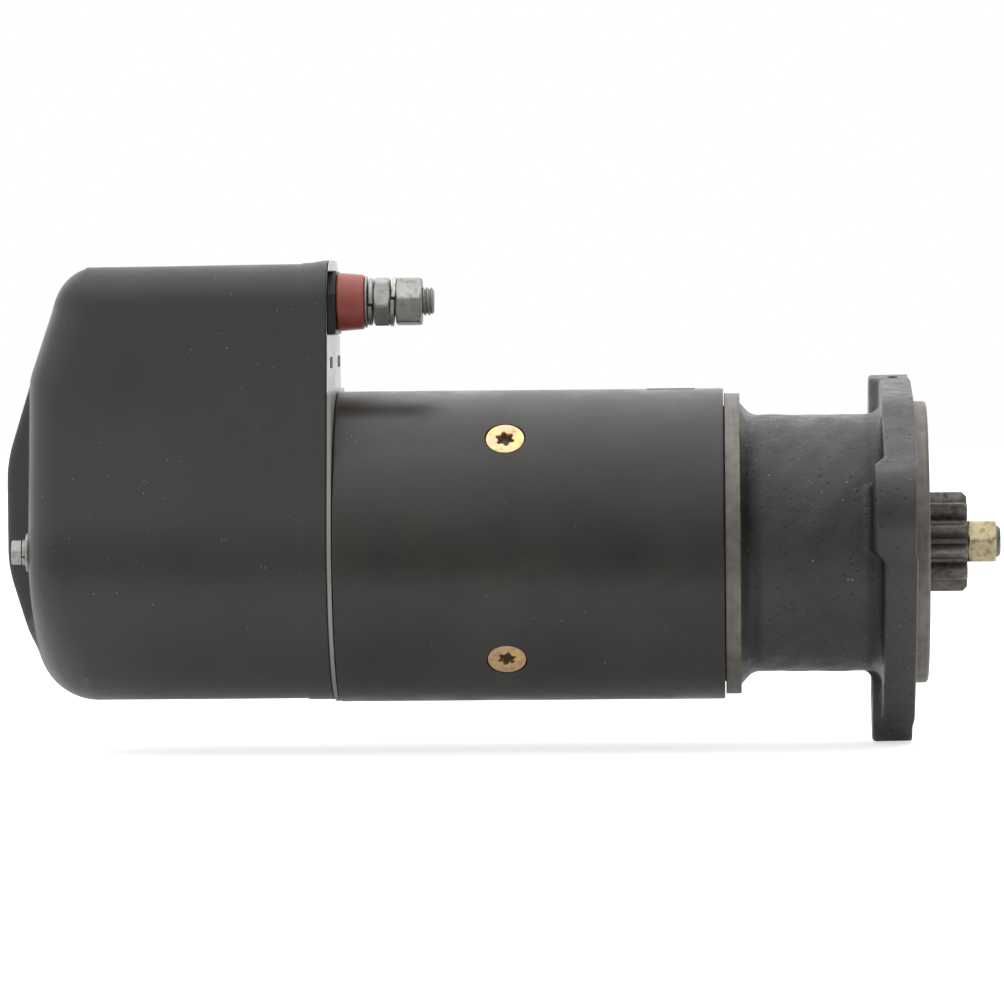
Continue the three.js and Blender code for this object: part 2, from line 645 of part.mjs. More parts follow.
function relay() {
  const { z, rear, front, outer, inner, travel } = RELAY;
  const up = (geometry) => geometry.translate(0, 0, z);
  const cup = turned([
    [rear, 0], [rear, outer], [front, outer], [front, inner], [rear + 3, inner], [rear + 3, 0],
  ]);
  add("relay_case", up(cup), "steel");
  add("relay_coil", up(tube(rear + 3 + GAP, front - 3, inner - GAP, 6)), "copper");
  const bridgeFront = CONTACT_REAR - travel - GAP;
  const bridge = block([bridgeFront - 3, bridgeFront], [-6, 6], [-17, 17]);
  add("relay_plunger", up(join(rod(rear + 8, bridgeFront - 1, 5), bridge)), "steel");
  const studSpace = rod(STUD.rear - GAP, -250, STUD.radius + GAP).translate(0, 0, TERMINAL.z);
  const first = cut(block([CONTACT_REAR, -258], [-8, 8], [94, 110]), studSpace);
  add("fixed_contact_1", first, "copper");
  add("fixed_contact_2", block([CONTACT_REAR, SHIELD.spigotRear - GAP], [-8, 8], [60, 74]), "copper");
}

// The cover's side outline in X and Z, with its leaning rear wall; offset shrinks it.
function sideOutline(offset) {
  const { rear, topRadius, bottomRadius } = COVER;
  const top = SECTION.cornerZ + SECTION.corner - offset;
  const bottom = -SECTION.lower + offset;
  const wall = rear + offset;
  const front = COVER.lip + (offset ? 10 : 0);
  return rounded([
    [front, bottom], [front, top],
    [wall + (top - SLOPE.from) * SLOPE.run, top, topRadius - offset],
    [wall, SLOPE.from], [wall, bottom, bottomRadius - offset],
  ]);
}

// The cover's outline from above in X and Y.
function planOutline(offset) {
  const half = SECTION.lower - offset;
  const radius = COVER.sideRadius - offset;
  const wall = COVER.rear + offset;
  const front = COVER.lip + (offset ? 10 : 0);
  return rounded([[front, half], [wall, half, radius], [wall, -half, radius], [front, -half]]);
}

function alongZ(shape, bottom, top) {
  const depth = top - bottom;
  const geometry = new THREE.ExtrudeGeometry(shape, { depth, bevelEnabled: false, curveSegments: 4 });
  return geometry.translate(0, 0, bottom);
}

// The raised ridge down the middle of the rear wall, over the solenoid's end.
// Its sloping ends lean as much as the wall does, so the upper one runs on into the wall.
function ridge(offset) {
  const wall = COVER.rear + offset;
  const rear = RIDGE.rear + offset;
  const run = (wall - rear) / SLOPE.run;
  const [low, high] = [RIDGE.bottom - run, RIDGE.top + run];
  const side = rounded([
    [wall + 6, low], [wall + 6, high], [wall, high],
    [rear, RIDGE.top, 12], [rear, RIDGE.bottom, 12], [wall, low],
  ]);
  const half = RIDGE.halfWidth - offset;
  const plan = rounded([
    [wall + 6, half + 3], [rear, half - 3, 5], [rear, -half + 3, 5], [wall + 6, -half - 3],
  ]);
  return common(alongY(side, 40), alongZ(plan, low, high));
}

function coverSolid(offset) {
  const front = COVER.lip + (offset ? 5 : 0);
  const box = common(
    alongX(section(-offset), RIDGE.rear - 5, front, 9),
    alongY(sideOutline(offset), 80),
    alongZ(planOutline(offset), -80, 140),
  );
  return join(box, ridge(offset));
}

function rearCover() {
  const holes = [-1, 1].map((side) => {
    return rod(RIDGE.rear - 5, -350, COVER_SCREW.shank + GAP, 12).translate(0, side * COVER_SCREW.y, 0);
  });
  return cut(coverSolid(0), coverSolid(COVER.wall), ...holes);
}

// A hexagon screw with its captive spring washer and wide flat washer.
function coverScrew(side) {
  const { y, flats, head, shank, end } = COVER_SCREW;
  const { flat, flatDepth, spring, springDepth } = COVER_WASHER;
  const seat = COVER.rear - GAP;
  const headSeat = seat - flatDepth - springDepth;
  const body = join(
    rod(seat - flatDepth, seat, flat),
    rod(headSeat - 0.2, seat - flatDepth + 0.2, spring),
    nut(headSeat - head, headSeat, flats, 1, 10),
    rod(headSeat - head + 0.4, end, shank, 12),
  );
  return body.translate(0, side * y, 0);
}

function rearEnd() {
  add("rear_cover", rearCover(), "greyPaint");
  const ring = alongX(section(-COVER.wall - GAP), -253, SHIELD.spigotRear - GAP, 9);
  const hole = alongX(section(-COVER.wall - 5), -254, -249, 5);
  add("cover_gasket", cut(ring, hole), "rubber");
  [-1, 1].forEach((side, i) => add(`cover_screw_${i + 1}`, coverScrew(side), "zinc"));
}

driveEnd();
field();
armature();
commutatorEnd();
engagement();
relay();
rearEnd();

export default motor;
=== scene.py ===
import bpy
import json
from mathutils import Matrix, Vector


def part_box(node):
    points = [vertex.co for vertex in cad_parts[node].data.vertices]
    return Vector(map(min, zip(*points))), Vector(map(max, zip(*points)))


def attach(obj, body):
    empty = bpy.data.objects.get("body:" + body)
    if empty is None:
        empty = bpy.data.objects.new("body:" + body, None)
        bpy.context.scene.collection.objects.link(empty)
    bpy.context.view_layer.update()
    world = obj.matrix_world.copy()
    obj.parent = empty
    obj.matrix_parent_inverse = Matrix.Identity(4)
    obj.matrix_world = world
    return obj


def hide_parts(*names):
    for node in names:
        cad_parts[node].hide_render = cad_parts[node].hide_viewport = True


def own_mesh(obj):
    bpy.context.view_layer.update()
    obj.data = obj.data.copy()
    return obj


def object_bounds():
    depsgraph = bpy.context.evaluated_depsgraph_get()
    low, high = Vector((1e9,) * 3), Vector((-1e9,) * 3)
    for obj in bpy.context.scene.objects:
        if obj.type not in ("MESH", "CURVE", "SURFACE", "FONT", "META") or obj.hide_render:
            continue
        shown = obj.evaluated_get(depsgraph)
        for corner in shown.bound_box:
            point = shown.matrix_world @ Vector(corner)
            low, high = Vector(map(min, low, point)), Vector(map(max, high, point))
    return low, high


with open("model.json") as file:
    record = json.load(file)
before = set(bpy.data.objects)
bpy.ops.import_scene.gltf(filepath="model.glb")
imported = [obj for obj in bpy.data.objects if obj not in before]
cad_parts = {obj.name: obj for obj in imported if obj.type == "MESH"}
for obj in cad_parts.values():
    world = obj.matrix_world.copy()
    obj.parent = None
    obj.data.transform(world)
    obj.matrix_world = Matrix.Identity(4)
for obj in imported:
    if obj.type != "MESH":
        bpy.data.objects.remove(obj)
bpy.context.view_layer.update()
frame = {"nodes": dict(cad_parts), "record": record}

import json
import math

import bmesh
import bpy
import numpy as np
from mathutils import Matrix, Vector

# Starter motor, finished in Blender round its CAD model.
# Shapes are worked out in millimetres, X along the motor, and go into the meshes in metres.
mm = 0.001
tau = 2 * math.pi
weldWithin = 3e-6        # metres

slotOf = {part["node"]: part["material_slot"] for part in frame["record"]["subparts"]}
bodyOf = {node: body for body, nodes in frame["record"]["behaviour"]["bodies"].items() for node in nodes}
poleAngles = [45, 135, 225, 315]


def span(node):      # lowest and highest corner of a CAD node
    low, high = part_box(node)
    return np.array(low) / mm, np.array(high) / mm


def unit(vectors):
    return vectors / np.maximum(np.linalg.norm(vectors, axis=-1, keepdims=True), 1e-12)


def ease(t):         # 0 to 1 with level ends
    t = np.clip(t, 0, 1)
    return t * t * (3 - 2 * t)


def softMin(a, b, k):   # the smaller of two, rounded over k where they cross
    h = np.clip(0.5 + 0.5 * (b - a) / k, 0, 1)
    return b + (a - b) * h - k * h * (1 - h)


def softMax(a, b, k):
    return -softMin(-a, -b, k)


# Surfaces: each is a grid of points, rows x columns x 3.

def roundedPath(corners, steps=4):
    # Each corner [x, r, radius] becomes an arc of that radius, tangent to the two sides that meet there.
    # The arc is its centre plus the radius times a direction that swings from one tangent point to the other.
    # A value may be an array over the angle round the axis, and the path is then one profile per angle.
    width = np.broadcast_shapes(*(np.shape(value) for corner in corners for value in corner))
    table = np.array([[np.broadcast_to(value, width) for value in corner] for corner in corners], float)
    place = np.stack([table[:, 0], table[:, 1]], -1)
    radius = table[:, 2][..., None]
    before = unit(np.roll(place, 1, 0) - place)
    after = unit(np.roll(place, -1, 0) - place)
    half = np.arccos(np.clip((before * after).sum(-1, keepdims=True), -0.99999, 0.99999)) / 2
    centre = place + unit(before + after) * radius / np.sin(half)
    start = place + before * radius / np.tan(half) - centre
    end = place + after * radius / np.tan(half) - centre
    share = np.linspace(0, 1, steps + 1).reshape(-1, *[1] * place.ndim)
    arc = centre + unit(start + (end - start) * share) * radius
    return np.moveaxis(arc, 0, 1).reshape(-1, *place.shape[1:])


def turned(path, segments=128):
    # A profile of x and r carried round the X axis: y = r cos(angle), z = r sin(angle).
    angle = np.arange(segments) * tau / segments
    if path.ndim == 2:
        path = np.repeat(path[:, None], segments, 1)
    x, r = path[..., 0], path[..., 1]
    return np.stack([x, r * np.cos(angle), r * np.sin(angle)], -1)


def carried(profile, start, stop, steps, rise=0.0):
    # A closed profile of x and r carried along part of a turn, from start to stop degrees, climbing by rise.
    # Both ends draw in to the profile's middle, which closes them.
    share = np.linspace(0, 1, steps)
    angle = np.radians(start + (stop - start) * share)[:, None]
    x = profile[None, :, 0] + rise * share[:, None]
    r = np.repeat(profile[None, :, 1], steps, 0)
    rows = np.stack([x, r * np.cos(angle), r * np.sin(angle)], -1)
    ends = [np.repeat(row.mean(0)[None], len(profile), 0)[None] for row in (rows[0], rows[-1])]
    return np.concatenate([ends[0], rows, ends[1]])


def moved(points, x=0.0, y=0.0, z=0.0):
    return points + np.array([x, y, z])


def spun(points, degrees):      # a turn about the X axis, from +Y towards +Z
    c, s = math.cos(math.radians(degrees)), math.sin(math.radians(degrees))
    return points @ np.array([[1, 0, 0], [0, c, s], [0, -s, c]])


def sheet(points, wrapRows=False, wrapColumns=True):
    # The grid's points, and one quad between each four neighbours.
    rows, columns = points.shape[:2]
    i = np.arange(rows if wrapRows else rows - 1)[:, None]
    j = np.arange(columns if wrapColumns else columns - 1)[None, :]
    up, along = (i + 1) % rows, (j + 1) % columns
    corners = [i * columns + j, up * columns + j, up * columns + along, i * columns + along]
    return points.reshape(-1, 3), np.stack(corners, -1).reshape(-1, 4)


def ring(corners, segments=128, steps=4):       # a closed profile, turned
    return sheet(turned(roundedPath(corners, steps), segments), wrapRows=True)


def bar(corners, segments=128, steps=4):        # a profile that starts and ends on the axis
    return sheet(turned(roundedPath(corners, steps), segments))


def tube(rear, front, outer, inner, edge=0.3, segments=128):
    corners = [[rear, inner, edge], [rear, outer, edge], [front, outer, edge], [front, inner, edge]]
    return ring(corners, segments)


def weldedMesh(name, sheets):
    # One mesh of all the sheets, with points that meet welded and every face outwards.
    counts = np.cumsum([0] + [len(points) for points, _ in sheets])
    points = np.concatenate([points for points, _ in sheets]) * mm
    faces = np.concatenate([quads + count for (_, quads), count in zip(sheets, counts)])
    mesh = bpy.data.meshes.new(name)
    mesh.from_pydata(points.tolist(), [], faces.tolist())
    work = bmesh.new()
    work.from_mesh(mesh)
    bmesh.ops.remove_doubles(work, verts=work.verts, dist=weldWithin)
    bmesh.ops.recalc_face_normals(work, faces=work.faces)
    work.to_mesh(mesh)
    work.free()
    return mesh


def smooth(mesh, sharp):
    mesh.shade_smooth()
    mesh.set_sharp_from_angle(angle=math.radians(sharp))


def placed(name, data):
    thing = bpy.data.objects.new(name, data)
    bpy.context.scene.collection.objects.link(thing)
    return thing


def makePiece(name, sheets, material, nodes, sharp=32):
    # One piece from its sheets, put on the body of the nodes it stands for.
    mesh = weldedMesh(name, sheets)
    smooth(mesh, sharp)
    mesh.materials.append(material)
    piece = placed(name, mesh)
    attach(piece, bodyOf[nodes[0]])
    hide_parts(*nodes)
    return piece


def drill(piece, cutters, sharp=32):
    # Cuts closed sheets out of a piece, and drops the cutter afterwards.
    cutter = placed("cutter", weldedMesh("cutter", cutters))
    cutting = piece.modifiers.new("holes", "BOOLEAN")
    cutting.operation = "DIFFERENCE"
    cutting.solver = "EXACT"
    cutting.object = cutter
    bpy.context.view_layer.update()
    result = bpy.data.meshes.new_from_object(piece.evaluated_get(bpy.context.evaluated_depsgraph_get()))
    piece.modifiers.clear()
    piece.data = result
    smooth(result, sharp)
    bpy.data.objects.remove(cutter)


def bevel(piece, width, segments=3):
    edge = piece.modifiers.new("edges", "BEVEL")
    edge.width = width * mm
    edge.segments = segments
    edge.limit_method = "ANGLE"
    edge.angle_limit = math.radians(35)


def slab(outline, rear, front):
    # A prism along X of an outline in y and z, with its two ends drawn in to a middle point.
    middle = outline.mean(0)
    rows = [(rear, 0), (rear, 1), (front, 1), (front, 0)]
    flat = [middle + (outline - middle) * reach for _, reach in rows]
    points = np.stack([np.column_stack([np.full(len(outline), x), part]) for (x, _), part in zip(rows, flat)])
    return sheet(points)


def wire(tree, kind, links=None, **settings):
    # One node. Each entry of links is an input: a fixed value, or the output that feeds it.
    node = tree.nodes.new("ShaderNode" + kind)
    for key, value in settings.items():
        setattr(node, key, value)
    for key, value in (links or {}).items():
        if isinstance(value, bpy.types.NodeSocket):
            tree.links.new(value, node.inputs[key])
        else:
            node.inputs[key].default_value = value
    return node


def maths(tree, operation, a, b=0.0, c=0.0):
    return wire(tree, "Math", {0: a, 1: b, 2: c}, operation=operation).outputs[0]


def ramp(tree, value, low, high, start=0.0, stop=1.0):
    links = {"Value": value, "From Min": low, "From Max": high, "To Min": start, "To Max": stop}
    return wire(tree, "MapRange", links, interpolation_type="SMOOTHSTEP").outputs[0]


def mixed(tree, factor, a, b):
    return wire(tree, "Mix", {0: factor, 6: a, 7: b}, data_type="RGBA").outputs[2]


def noise(tree, place, scale, detail=3.0, rough=0.55):
    links = {"Vector": place, "Scale": scale, "Detail": detail, "Roughness": rough}
    return wire(tree, "TexNoise", links).outputs["Fac"]


def newGroup(name, inputs, outputs):
    tree = bpy.data.node_groups.new(name, "ShaderNodeTree")
    tree.interface.new_socket("Place", in_out="INPUT", socket_type="NodeSocketVector")
    for label, value in inputs.items():
        socket = tree.interface.new_socket(label, in_out="INPUT", socket_type="NodeSocketFloat")
        socket.default_value = value
    for label in outputs:
        tree.interface.new_socket(label, in_out="OUTPUT", socket_type="NodeSocketFloat")
    return tree, tree.nodes.new("NodeGroupInput").outputs, tree.nodes.new("NodeGroupOutput").inputs


def useGroup(tree, group, place, **values):
    node = tree.nodes.new("ShaderNodeGroup")
    node.node_tree = group
    tree.links.new(place, node.inputs["Place"])
    for label, value in values.items():
        node.inputs[label].default_value = value
    return node.outputs


def dustGroup():
    # Scattered specks: cells of a given size, of which a share holds one dot of its own size.
    tree, given, out = newGroup("dust", {"Scale": 400.0, "Share": 0.05, "Dot": 0.18}, ["Mask"])
    cells = wire(tree, "TexVoronoi", {"Vector": given["Place"], "Scale": given["Scale"]})
    draw = wire(tree, "SeparateColor", {0: cells.outputs["Color"]}).outputs
    chosen = maths(tree, "LESS_THAN", draw[0], given["Share"])
    size = maths(tree, "MULTIPLY", maths(tree, "ADD", draw[1], 0.25), given["Dot"])
    near = maths(tree, "SUBTRACT", size, cells.outputs["Distance"])
    dot = maths(tree, "MULTIPLY", maths(tree, "MULTIPLY", near, 14.0), chosen)
    clumps = ramp(tree, noise(tree, given["Place"], 28.0), 0.42, 0.62)
    tree.links.new(wire(tree, "Clamp", {0: maths(tree, "MULTIPLY", dot, clumps)}).outputs[0], out["Mask"])
    return tree


def castGroup():
    # A sand casting: lumps a few millimetres across, a finer grain, and small sharp pits.
    tree, given, out = newGroup("castSkin", {"Lumps": 190.0, "Grain": 1300.0}, ["Height", "Pits"])
    lumps = noise(tree, given["Place"], given["Lumps"], 4.0, 0.6)
    grain = noise(tree, given["Place"], given["Grain"], 3.0, 0.7)
    cells = wire(tree, "TexVoronoi", {"Vector": given["Place"], "Scale": 330.0})
    draw = wire(tree, "SeparateColor", {0: cells.outputs["Color"]}).outputs
    chosen = maths(tree, "LESS_THAN", draw[0], 0.3)
    pits = maths(tree, "MULTIPLY", ramp(tree, cells.outputs["Distance"], 0.34, 0.1), chosen)
    height = maths(tree, "MULTIPLY_ADD", grain, 0.55, lumps)
    tree.links.new(maths(tree, "MULTIPLY_ADD", pits, -0.4, height), out["Height"])
    tree.links.new(pits, out["Pits"])
    return tree


def toolGroup():
    # Turned or brushed metal: fine lines across X, with a slower change of tone.
    tree, given, out = newGroup("toolMarks", {"Lines": 2600.0}, ["Height", "Tone"])
    flat = wire(tree, "Mapping", {"Vector": given["Place"], "Scale": (1.0, 0.02, 0.02)}).outputs[0]
    lines = noise(tree, flat, given["Lines"], 2.0, 0.6)
    slow = noise(tree, given["Place"], 140.0, 4.0, 0.6)
    tree.links.new(lines, out["Height"])
    tree.links.new(maths(tree, "MULTIPLY_ADD", lines, 0.3, maths(tree, "MULTIPLY", slow, 0.7)), out["Tone"])
    return tree


def scuffGroup():
    # Handling marks: short thin scratches at two angles, kept to a few patches.
    tree, given, out = newGroup("scuffs", {"Scale": 60.0, "Width": 0.02}, ["Mask"])
    marks = []
    for turn in (0.5, -0.9):
        swing = (turn, turn * 0.7, turn * 1.3)
        links = {"Vector": given["Place"], "Rotation": swing, "Scale": (1.0, 0.12, 1.0)}
        place = wire(tree, "Mapping", links).outputs[0]
        links = {"Vector": place, "Scale": given["Scale"]}
        cells = wire(tree, "TexVoronoi", links, feature="DISTANCE_TO_EDGE")
        marks.append(maths(tree, "LESS_THAN", cells.outputs["Distance"], given["Width"]))
    patches = ramp(tree, noise(tree, given["Place"], 45.0, 5.0, 0.7), 0.56, 0.68)
    tree.links.new(maths(tree, "MULTIPLY", maths(tree, "MAXIMUM", *marks), patches), out["Mask"])
    return tree


dust, castSkin, toolMarks, scuffs = dustGroup(), castGroup(), toolGroup(), scuffGroup()


def newMaterial(name):
    material = bpy.data.materials.new(name)
    material.use_nodes = True
    tree = material.node_tree
    tree.nodes.clear()
    shader = wire(tree, "BsdfPrincipled")
    wire(tree, "OutputMaterial", {"Surface": shader.outputs[0]})
    place = wire(tree, "TexCoord").outputs["Object"]
    return material, tree, shader.inputs, place


def feed(tree, socket, value):
    if isinstance(value, bpy.types.NodeSocket):
        tree.links.new(value, socket)
    else:
        socket.default_value = value


def relief(tree, shader, height, depth, distance=1.0):
    links = {"Height": height, "Strength": depth, "Distance": distance * mm}
    tree.links.new(wire(tree, "Bump", links).outputs[0], shader["Normal"])


def paintMaterial(name, look):
    # Sprayed paint on smooth steel: slow drifts of tone and gloss, orange peel, specks and a few scuffs.
    material, tree, shader, place = newMaterial(name)
    drift = noise(tree, place, look["drift"], 4.0)
    tone = mixed(tree, ramp(tree, drift, 0.3, 0.7), look["dark"], look["light"])
    specks = useGroup(tree, dust, place, Scale=look["speckScale"], Share=look["specks"])["Mask"]
    marks = useGroup(tree, scuffs, place, Scale=look["scuffScale"], Width=look["scuffWidth"])["Mask"]
    worn = mixed(tree, maths(tree, "MULTIPLY", marks, look["scuffs"]), tone, look["scuffTone"])
    share = maths(tree, "MULTIPLY", specks, 0.75)
    feed(tree, shader["Base Color"], mixed(tree, share, worn, look["speckTone"]))
    smear = noise(tree, place, 55.0, 5.0, 0.6)
    rough = ramp(tree, smear, 0.3, 0.7, look["gloss"], look["gloss"] + look["spread"])
    feed(tree, shader["Roughness"], rough)
    peel = noise(tree, place, look["peelScale"], 2.0, 0.5)
    relief(tree, shader, maths(tree, "MULTIPLY_ADD", specks, 0.6, peel), look["peel"], 0.05)
    shader["Specular IOR Level"].default_value = look["shine"]
    return material


def metalMaterial(name, look):
    # Bare or plated metal: three tones shared out by noise, tool marks, and a film of dirt.
    material, tree, shader, place = newMaterial(name)
    patch = noise(tree, place, look["patch"], 4.0, 0.6)
    base = mixed(tree, ramp(tree, patch, 0.35, 0.55), look["first"], look["second"])
    base = mixed(tree, ramp(tree, patch, 0.52, 0.68), base, look["third"])
    marks = useGroup(tree, toolMarks, place, Lines=look["lines"])
    # painted shade: below a given height the tone is mixed towards a darker one
    if "paintedShadeBelow" in look:
        height = wire(tree, "SeparateXYZ", {0: place}).outputs[2]
        height = maths(tree, "MULTIPLY_ADD", noise(tree, place, 150.0, 5.0), 0.006, height)
        low = ramp(tree, height, (look["paintedShadeBelow"] + 4) * mm, (look["paintedShadeBelow"] + 1) * mm, 0.0, 0.85)
        base = mixed(tree, low, base, look["paintedShadeTone"])
    dirt = ramp(tree, noise(tree, place, look["dirtScale"], 5.0, 0.65), 0.5, 0.72)
    dirt = maths(tree, "MULTIPLY", dirt, look["dirt"])
    feed(tree, shader["Base Color"], mixed(tree, dirt, base, look["dirtTone"]))
    rough = ramp(tree, marks["Tone"], 0.25, 0.75, look["gloss"], look["gloss"] + look["spread"])
    feed(tree, shader["Roughness"], maths(tree, "MULTIPLY_ADD", dirt, 0.3, rough))
    feed(tree, shader["Metallic"], maths(tree, "MULTIPLY_ADD", dirt, -0.6, look["metal"]))
    relief(tree, shader, marks["Height"], look["relief"], 0.04)
    return material


def plasticMaterial(name, look):
    # Moulded plastic: a faint mottle, fine skin texture and a little dust.
    material, tree, shader, place = newMaterial(name)
    mottle = ramp(tree, noise(tree, place, look["patch"], 4.0), 0.3, 0.7)
    specks = useGroup(tree, dust, place, Scale=500.0, Share=0.04)["Mask"]
    tone = mixed(tree, mottle, look["dark"], look["light"])
    share = maths(tree, "MULTIPLY", specks, 0.5)
    feed(tree, shader["Base Color"], mixed(tree, share, tone, (0.5, 0.47, 0.44, 1)))
    feed(tree, shader["Roughness"], ramp(tree, mottle, 0.0, 1.0, look["gloss"], look["gloss"] + 0.1))
    relief(tree, shader, noise(tree, place, 1800.0, 2.0), look["skin"], 0.03)
    return material


coverPaint = paintMaterial("coverPaint", {
    "dark": (0.034, 0.033, 0.033, 1), "light": (0.043, 0.041, 0.041, 1), "drift": 14.0,
    "specks": 0.10, "speckScale": 620.0, "speckTone": (0.30, 0.29, 0.28, 1),
    "scuffs": 0.06, "scuffScale": 60.0, "scuffWidth": 0.010, "scuffTone": (0.12, 0.12, 0.12, 1),
    "gloss": 0.36, "spread": 0.08, "peel": 0.12, "peelScale": 900.0, "shine": 0.5})
framePaint = paintMaterial("framePaint", {
    "dark": (0.024, 0.023, 0.021, 1), "light": (0.037, 0.036, 0.031, 1), "drift": 20.0,
    "specks": 0.08, "speckScale": 520.0, "speckTone": (0.33, 0.32, 0.29, 1),
    "scuffs": 0.14, "scuffScale": 70.0, "scuffWidth": 0.012, "scuffTone": (0.16, 0.155, 0.14, 1),
    "gloss": 0.27, "spread": 0.12, "peel": 0.10, "peelScale": 700.0, "shine": 0.5})
zincPlate = metalMaterial("zincPlate", {
    "first": (0.43, 0.435, 0.42, 1), "second": (0.50, 0.50, 0.48, 1), "third": (0.38, 0.385, 0.375, 1),
    "patch": 260.0, "lines": 2200.0, "gloss": 0.50, "spread": 0.14, "relief": 0.25, "metal": 0.95,
    "dirt": 0.35, "dirtScale": 320.0, "dirtTone": (0.16, 0.155, 0.14, 1)})
goldPlate = metalMaterial("goldPlate", {
    "first": (0.88, 0.63, 0.23, 1), "second": (0.80, 0.50, 0.33, 1), "third": (0.62, 0.58, 0.24, 1),
    "patch": 150.0, "lines": 1800.0, "gloss": 0.26, "spread": 0.14, "relief": 0.2, "metal": 0.95,
    "dirt": 0.45, "dirtScale": 260.0, "dirtTone": (0.10, 0.075, 0.05, 1)})
paleGoldPlate = metalMaterial("paleGoldPlate", {
    "first": (0.50, 0.41, 0.24, 1), "second": (0.58, 0.50, 0.33, 1), "third": (0.36, 0.29, 0.16, 1),
    "patch": 240.0, "lines": 1500.0, "gloss": 0.34, "spread": 0.16, "relief": 0.4, "metal": 0.75,
    "dirt": 0.75, "dirtScale": 300.0, "dirtTone": (0.09, 0.075, 0.05, 1)})
paleZinc = metalMaterial("paleZinc", {
    "first": (0.54, 0.53, 0.44, 1), "second": (0.62, 0.61, 0.52, 1), "third": (0.44, 0.44, 0.38, 1),
    "patch": 240.0, "lines": 1500.0, "gloss": 0.36, "spread": 0.16, "relief": 0.3, "metal": 0.85,
    "dirt": 0.4, "dirtScale": 300.0, "dirtTone": (0.14, 0.13, 0.10, 1)})
oiledSteel = metalMaterial("oiledSteel", {
    "first": (0.16, 0.15, 0.13, 1), "second": (0.21, 0.20, 0.175, 1), "third": (0.12, 0.11, 0.10, 1),
    "patch": 160.0, "lines": 2400.0, "gloss": 0.28, "spread": 0.16, "relief": 0.25, "metal": 0.85,
    "dirt": 0.5, "dirtScale": 220.0, "dirtTone": (0.05, 0.043, 0.035, 1)})
pinionSteel = metalMaterial("pinionSteel", {
    "first": (0.15, 0.14, 0.125, 1), "second": (0.20, 0.187, 0.166, 1), "third": (0.11, 0.102, 0.09, 1),
    "patch": 210.0, "lines": 900.0, "gloss": 0.34, "spread": 0.16, "relief": 0.3, "metal": 0.8,
    "dirt": 0.6, "dirtScale": 380.0, "dirtTone": (0.035, 0.031, 0.027, 1)})
castLook = {
    "first": (0.80, 0.78, 0.76, 1), "second": (0.86, 0.84, 0.82, 1), "third": (0.74, 0.72, 0.69, 1),
    "patch": 180.0, "lines": 700.0, "gloss": 0.42, "spread": 0.14, "relief": 0.5, "metal": 0.45,
    "dirt": 0.22, "dirtScale": 210.0, "dirtTone": (0.33, 0.30, 0.27, 1)}
castAluminium = metalMaterial("castAluminium", castLook)
# the rim is darker all the way round below the motor's top: a painted shade where it lies in the groove
# between the cover and the tube
rimAluminium = metalMaterial("rimAluminium", {
    **castLook, "paintedShadeBelow": 66.0, "paintedShadeTone": (0.26, 0.255, 0.225, 1)})
copperWire = metalMaterial("copperWire", {
    "first": (0.62, 0.27, 0.12, 1), "second": (0.70, 0.33, 0.16, 1), "third": (0.45, 0.17, 0.07, 1),
    "patch": 220.0, "lines": 1400.0, "gloss": 0.28, "spread": 0.2, "relief": 0.5, "metal": 0.9,
    "dirt": 0.3, "dirtScale": 180.0, "dirtTone": (0.10, 0.05, 0.03, 1)})
bronze = metalMaterial("bronze", {
    "first": (0.46, 0.31, 0.13, 1), "second": (0.54, 0.38, 0.18, 1), "third": (0.36, 0.24, 0.10, 1),
    "patch": 500.0, "lines": 1800.0, "gloss": 0.34, "spread": 0.14, "relief": 0.3, "metal": 0.9,
    "dirt": 0.4, "dirtScale": 260.0, "dirtTone": (0.08, 0.06, 0.03, 1)})
steelSheets = metalMaterial("steelSheets", {
    "first": (0.22, 0.23, 0.24, 1), "second": (0.28, 0.29, 0.30, 1), "third": (0.17, 0.17, 0.18, 1),
    "patch": 90.0, "lines": 1900.0, "gloss": 0.36, "spread": 0.2, "relief": 0.8, "metal": 0.85,
    "dirt": 0.2, "dirtScale": 200.0, "dirtTone": (0.10, 0.07, 0.05, 1)})
redPlastic = plasticMaterial("redPlastic", {
    "dark": (0.40, 0.090, 0.072, 1), "light": (0.46, 0.112, 0.090, 1),
    "patch": 160.0, "gloss": 0.34, "skin": 0.15})
blackPlastic = plasticMaterial("blackPlastic", {
    "dark": (0.026, 0.025, 0.024, 1), "light": (0.036, 0.035, 0.034, 1),
    "patch": 120.0, "gloss": 0.42, "skin": 0.25})
sealRubber = plasticMaterial("sealRubber", {
    "dark": (0.016, 0.016, 0.016, 1), "light": (0.024, 0.023, 0.022, 1),
    "patch": 200.0, "gloss": 0.6, "skin": 0.5})
carbon = plasticMaterial("carbon", {
    "dark": (0.030, 0.028, 0.027, 1), "light": (0.060, 0.052, 0.048, 1),
    "patch": 700.0, "gloss": 0.5, "skin": 0.8})
labelFoil = plasticMaterial("labelFoil", {
    "dark": (0.66, 0.62, 0.60, 1), "light": (0.76, 0.73, 0.71, 1),
    "patch": 90.0, "gloss": 0.36, "skin": 0.1})


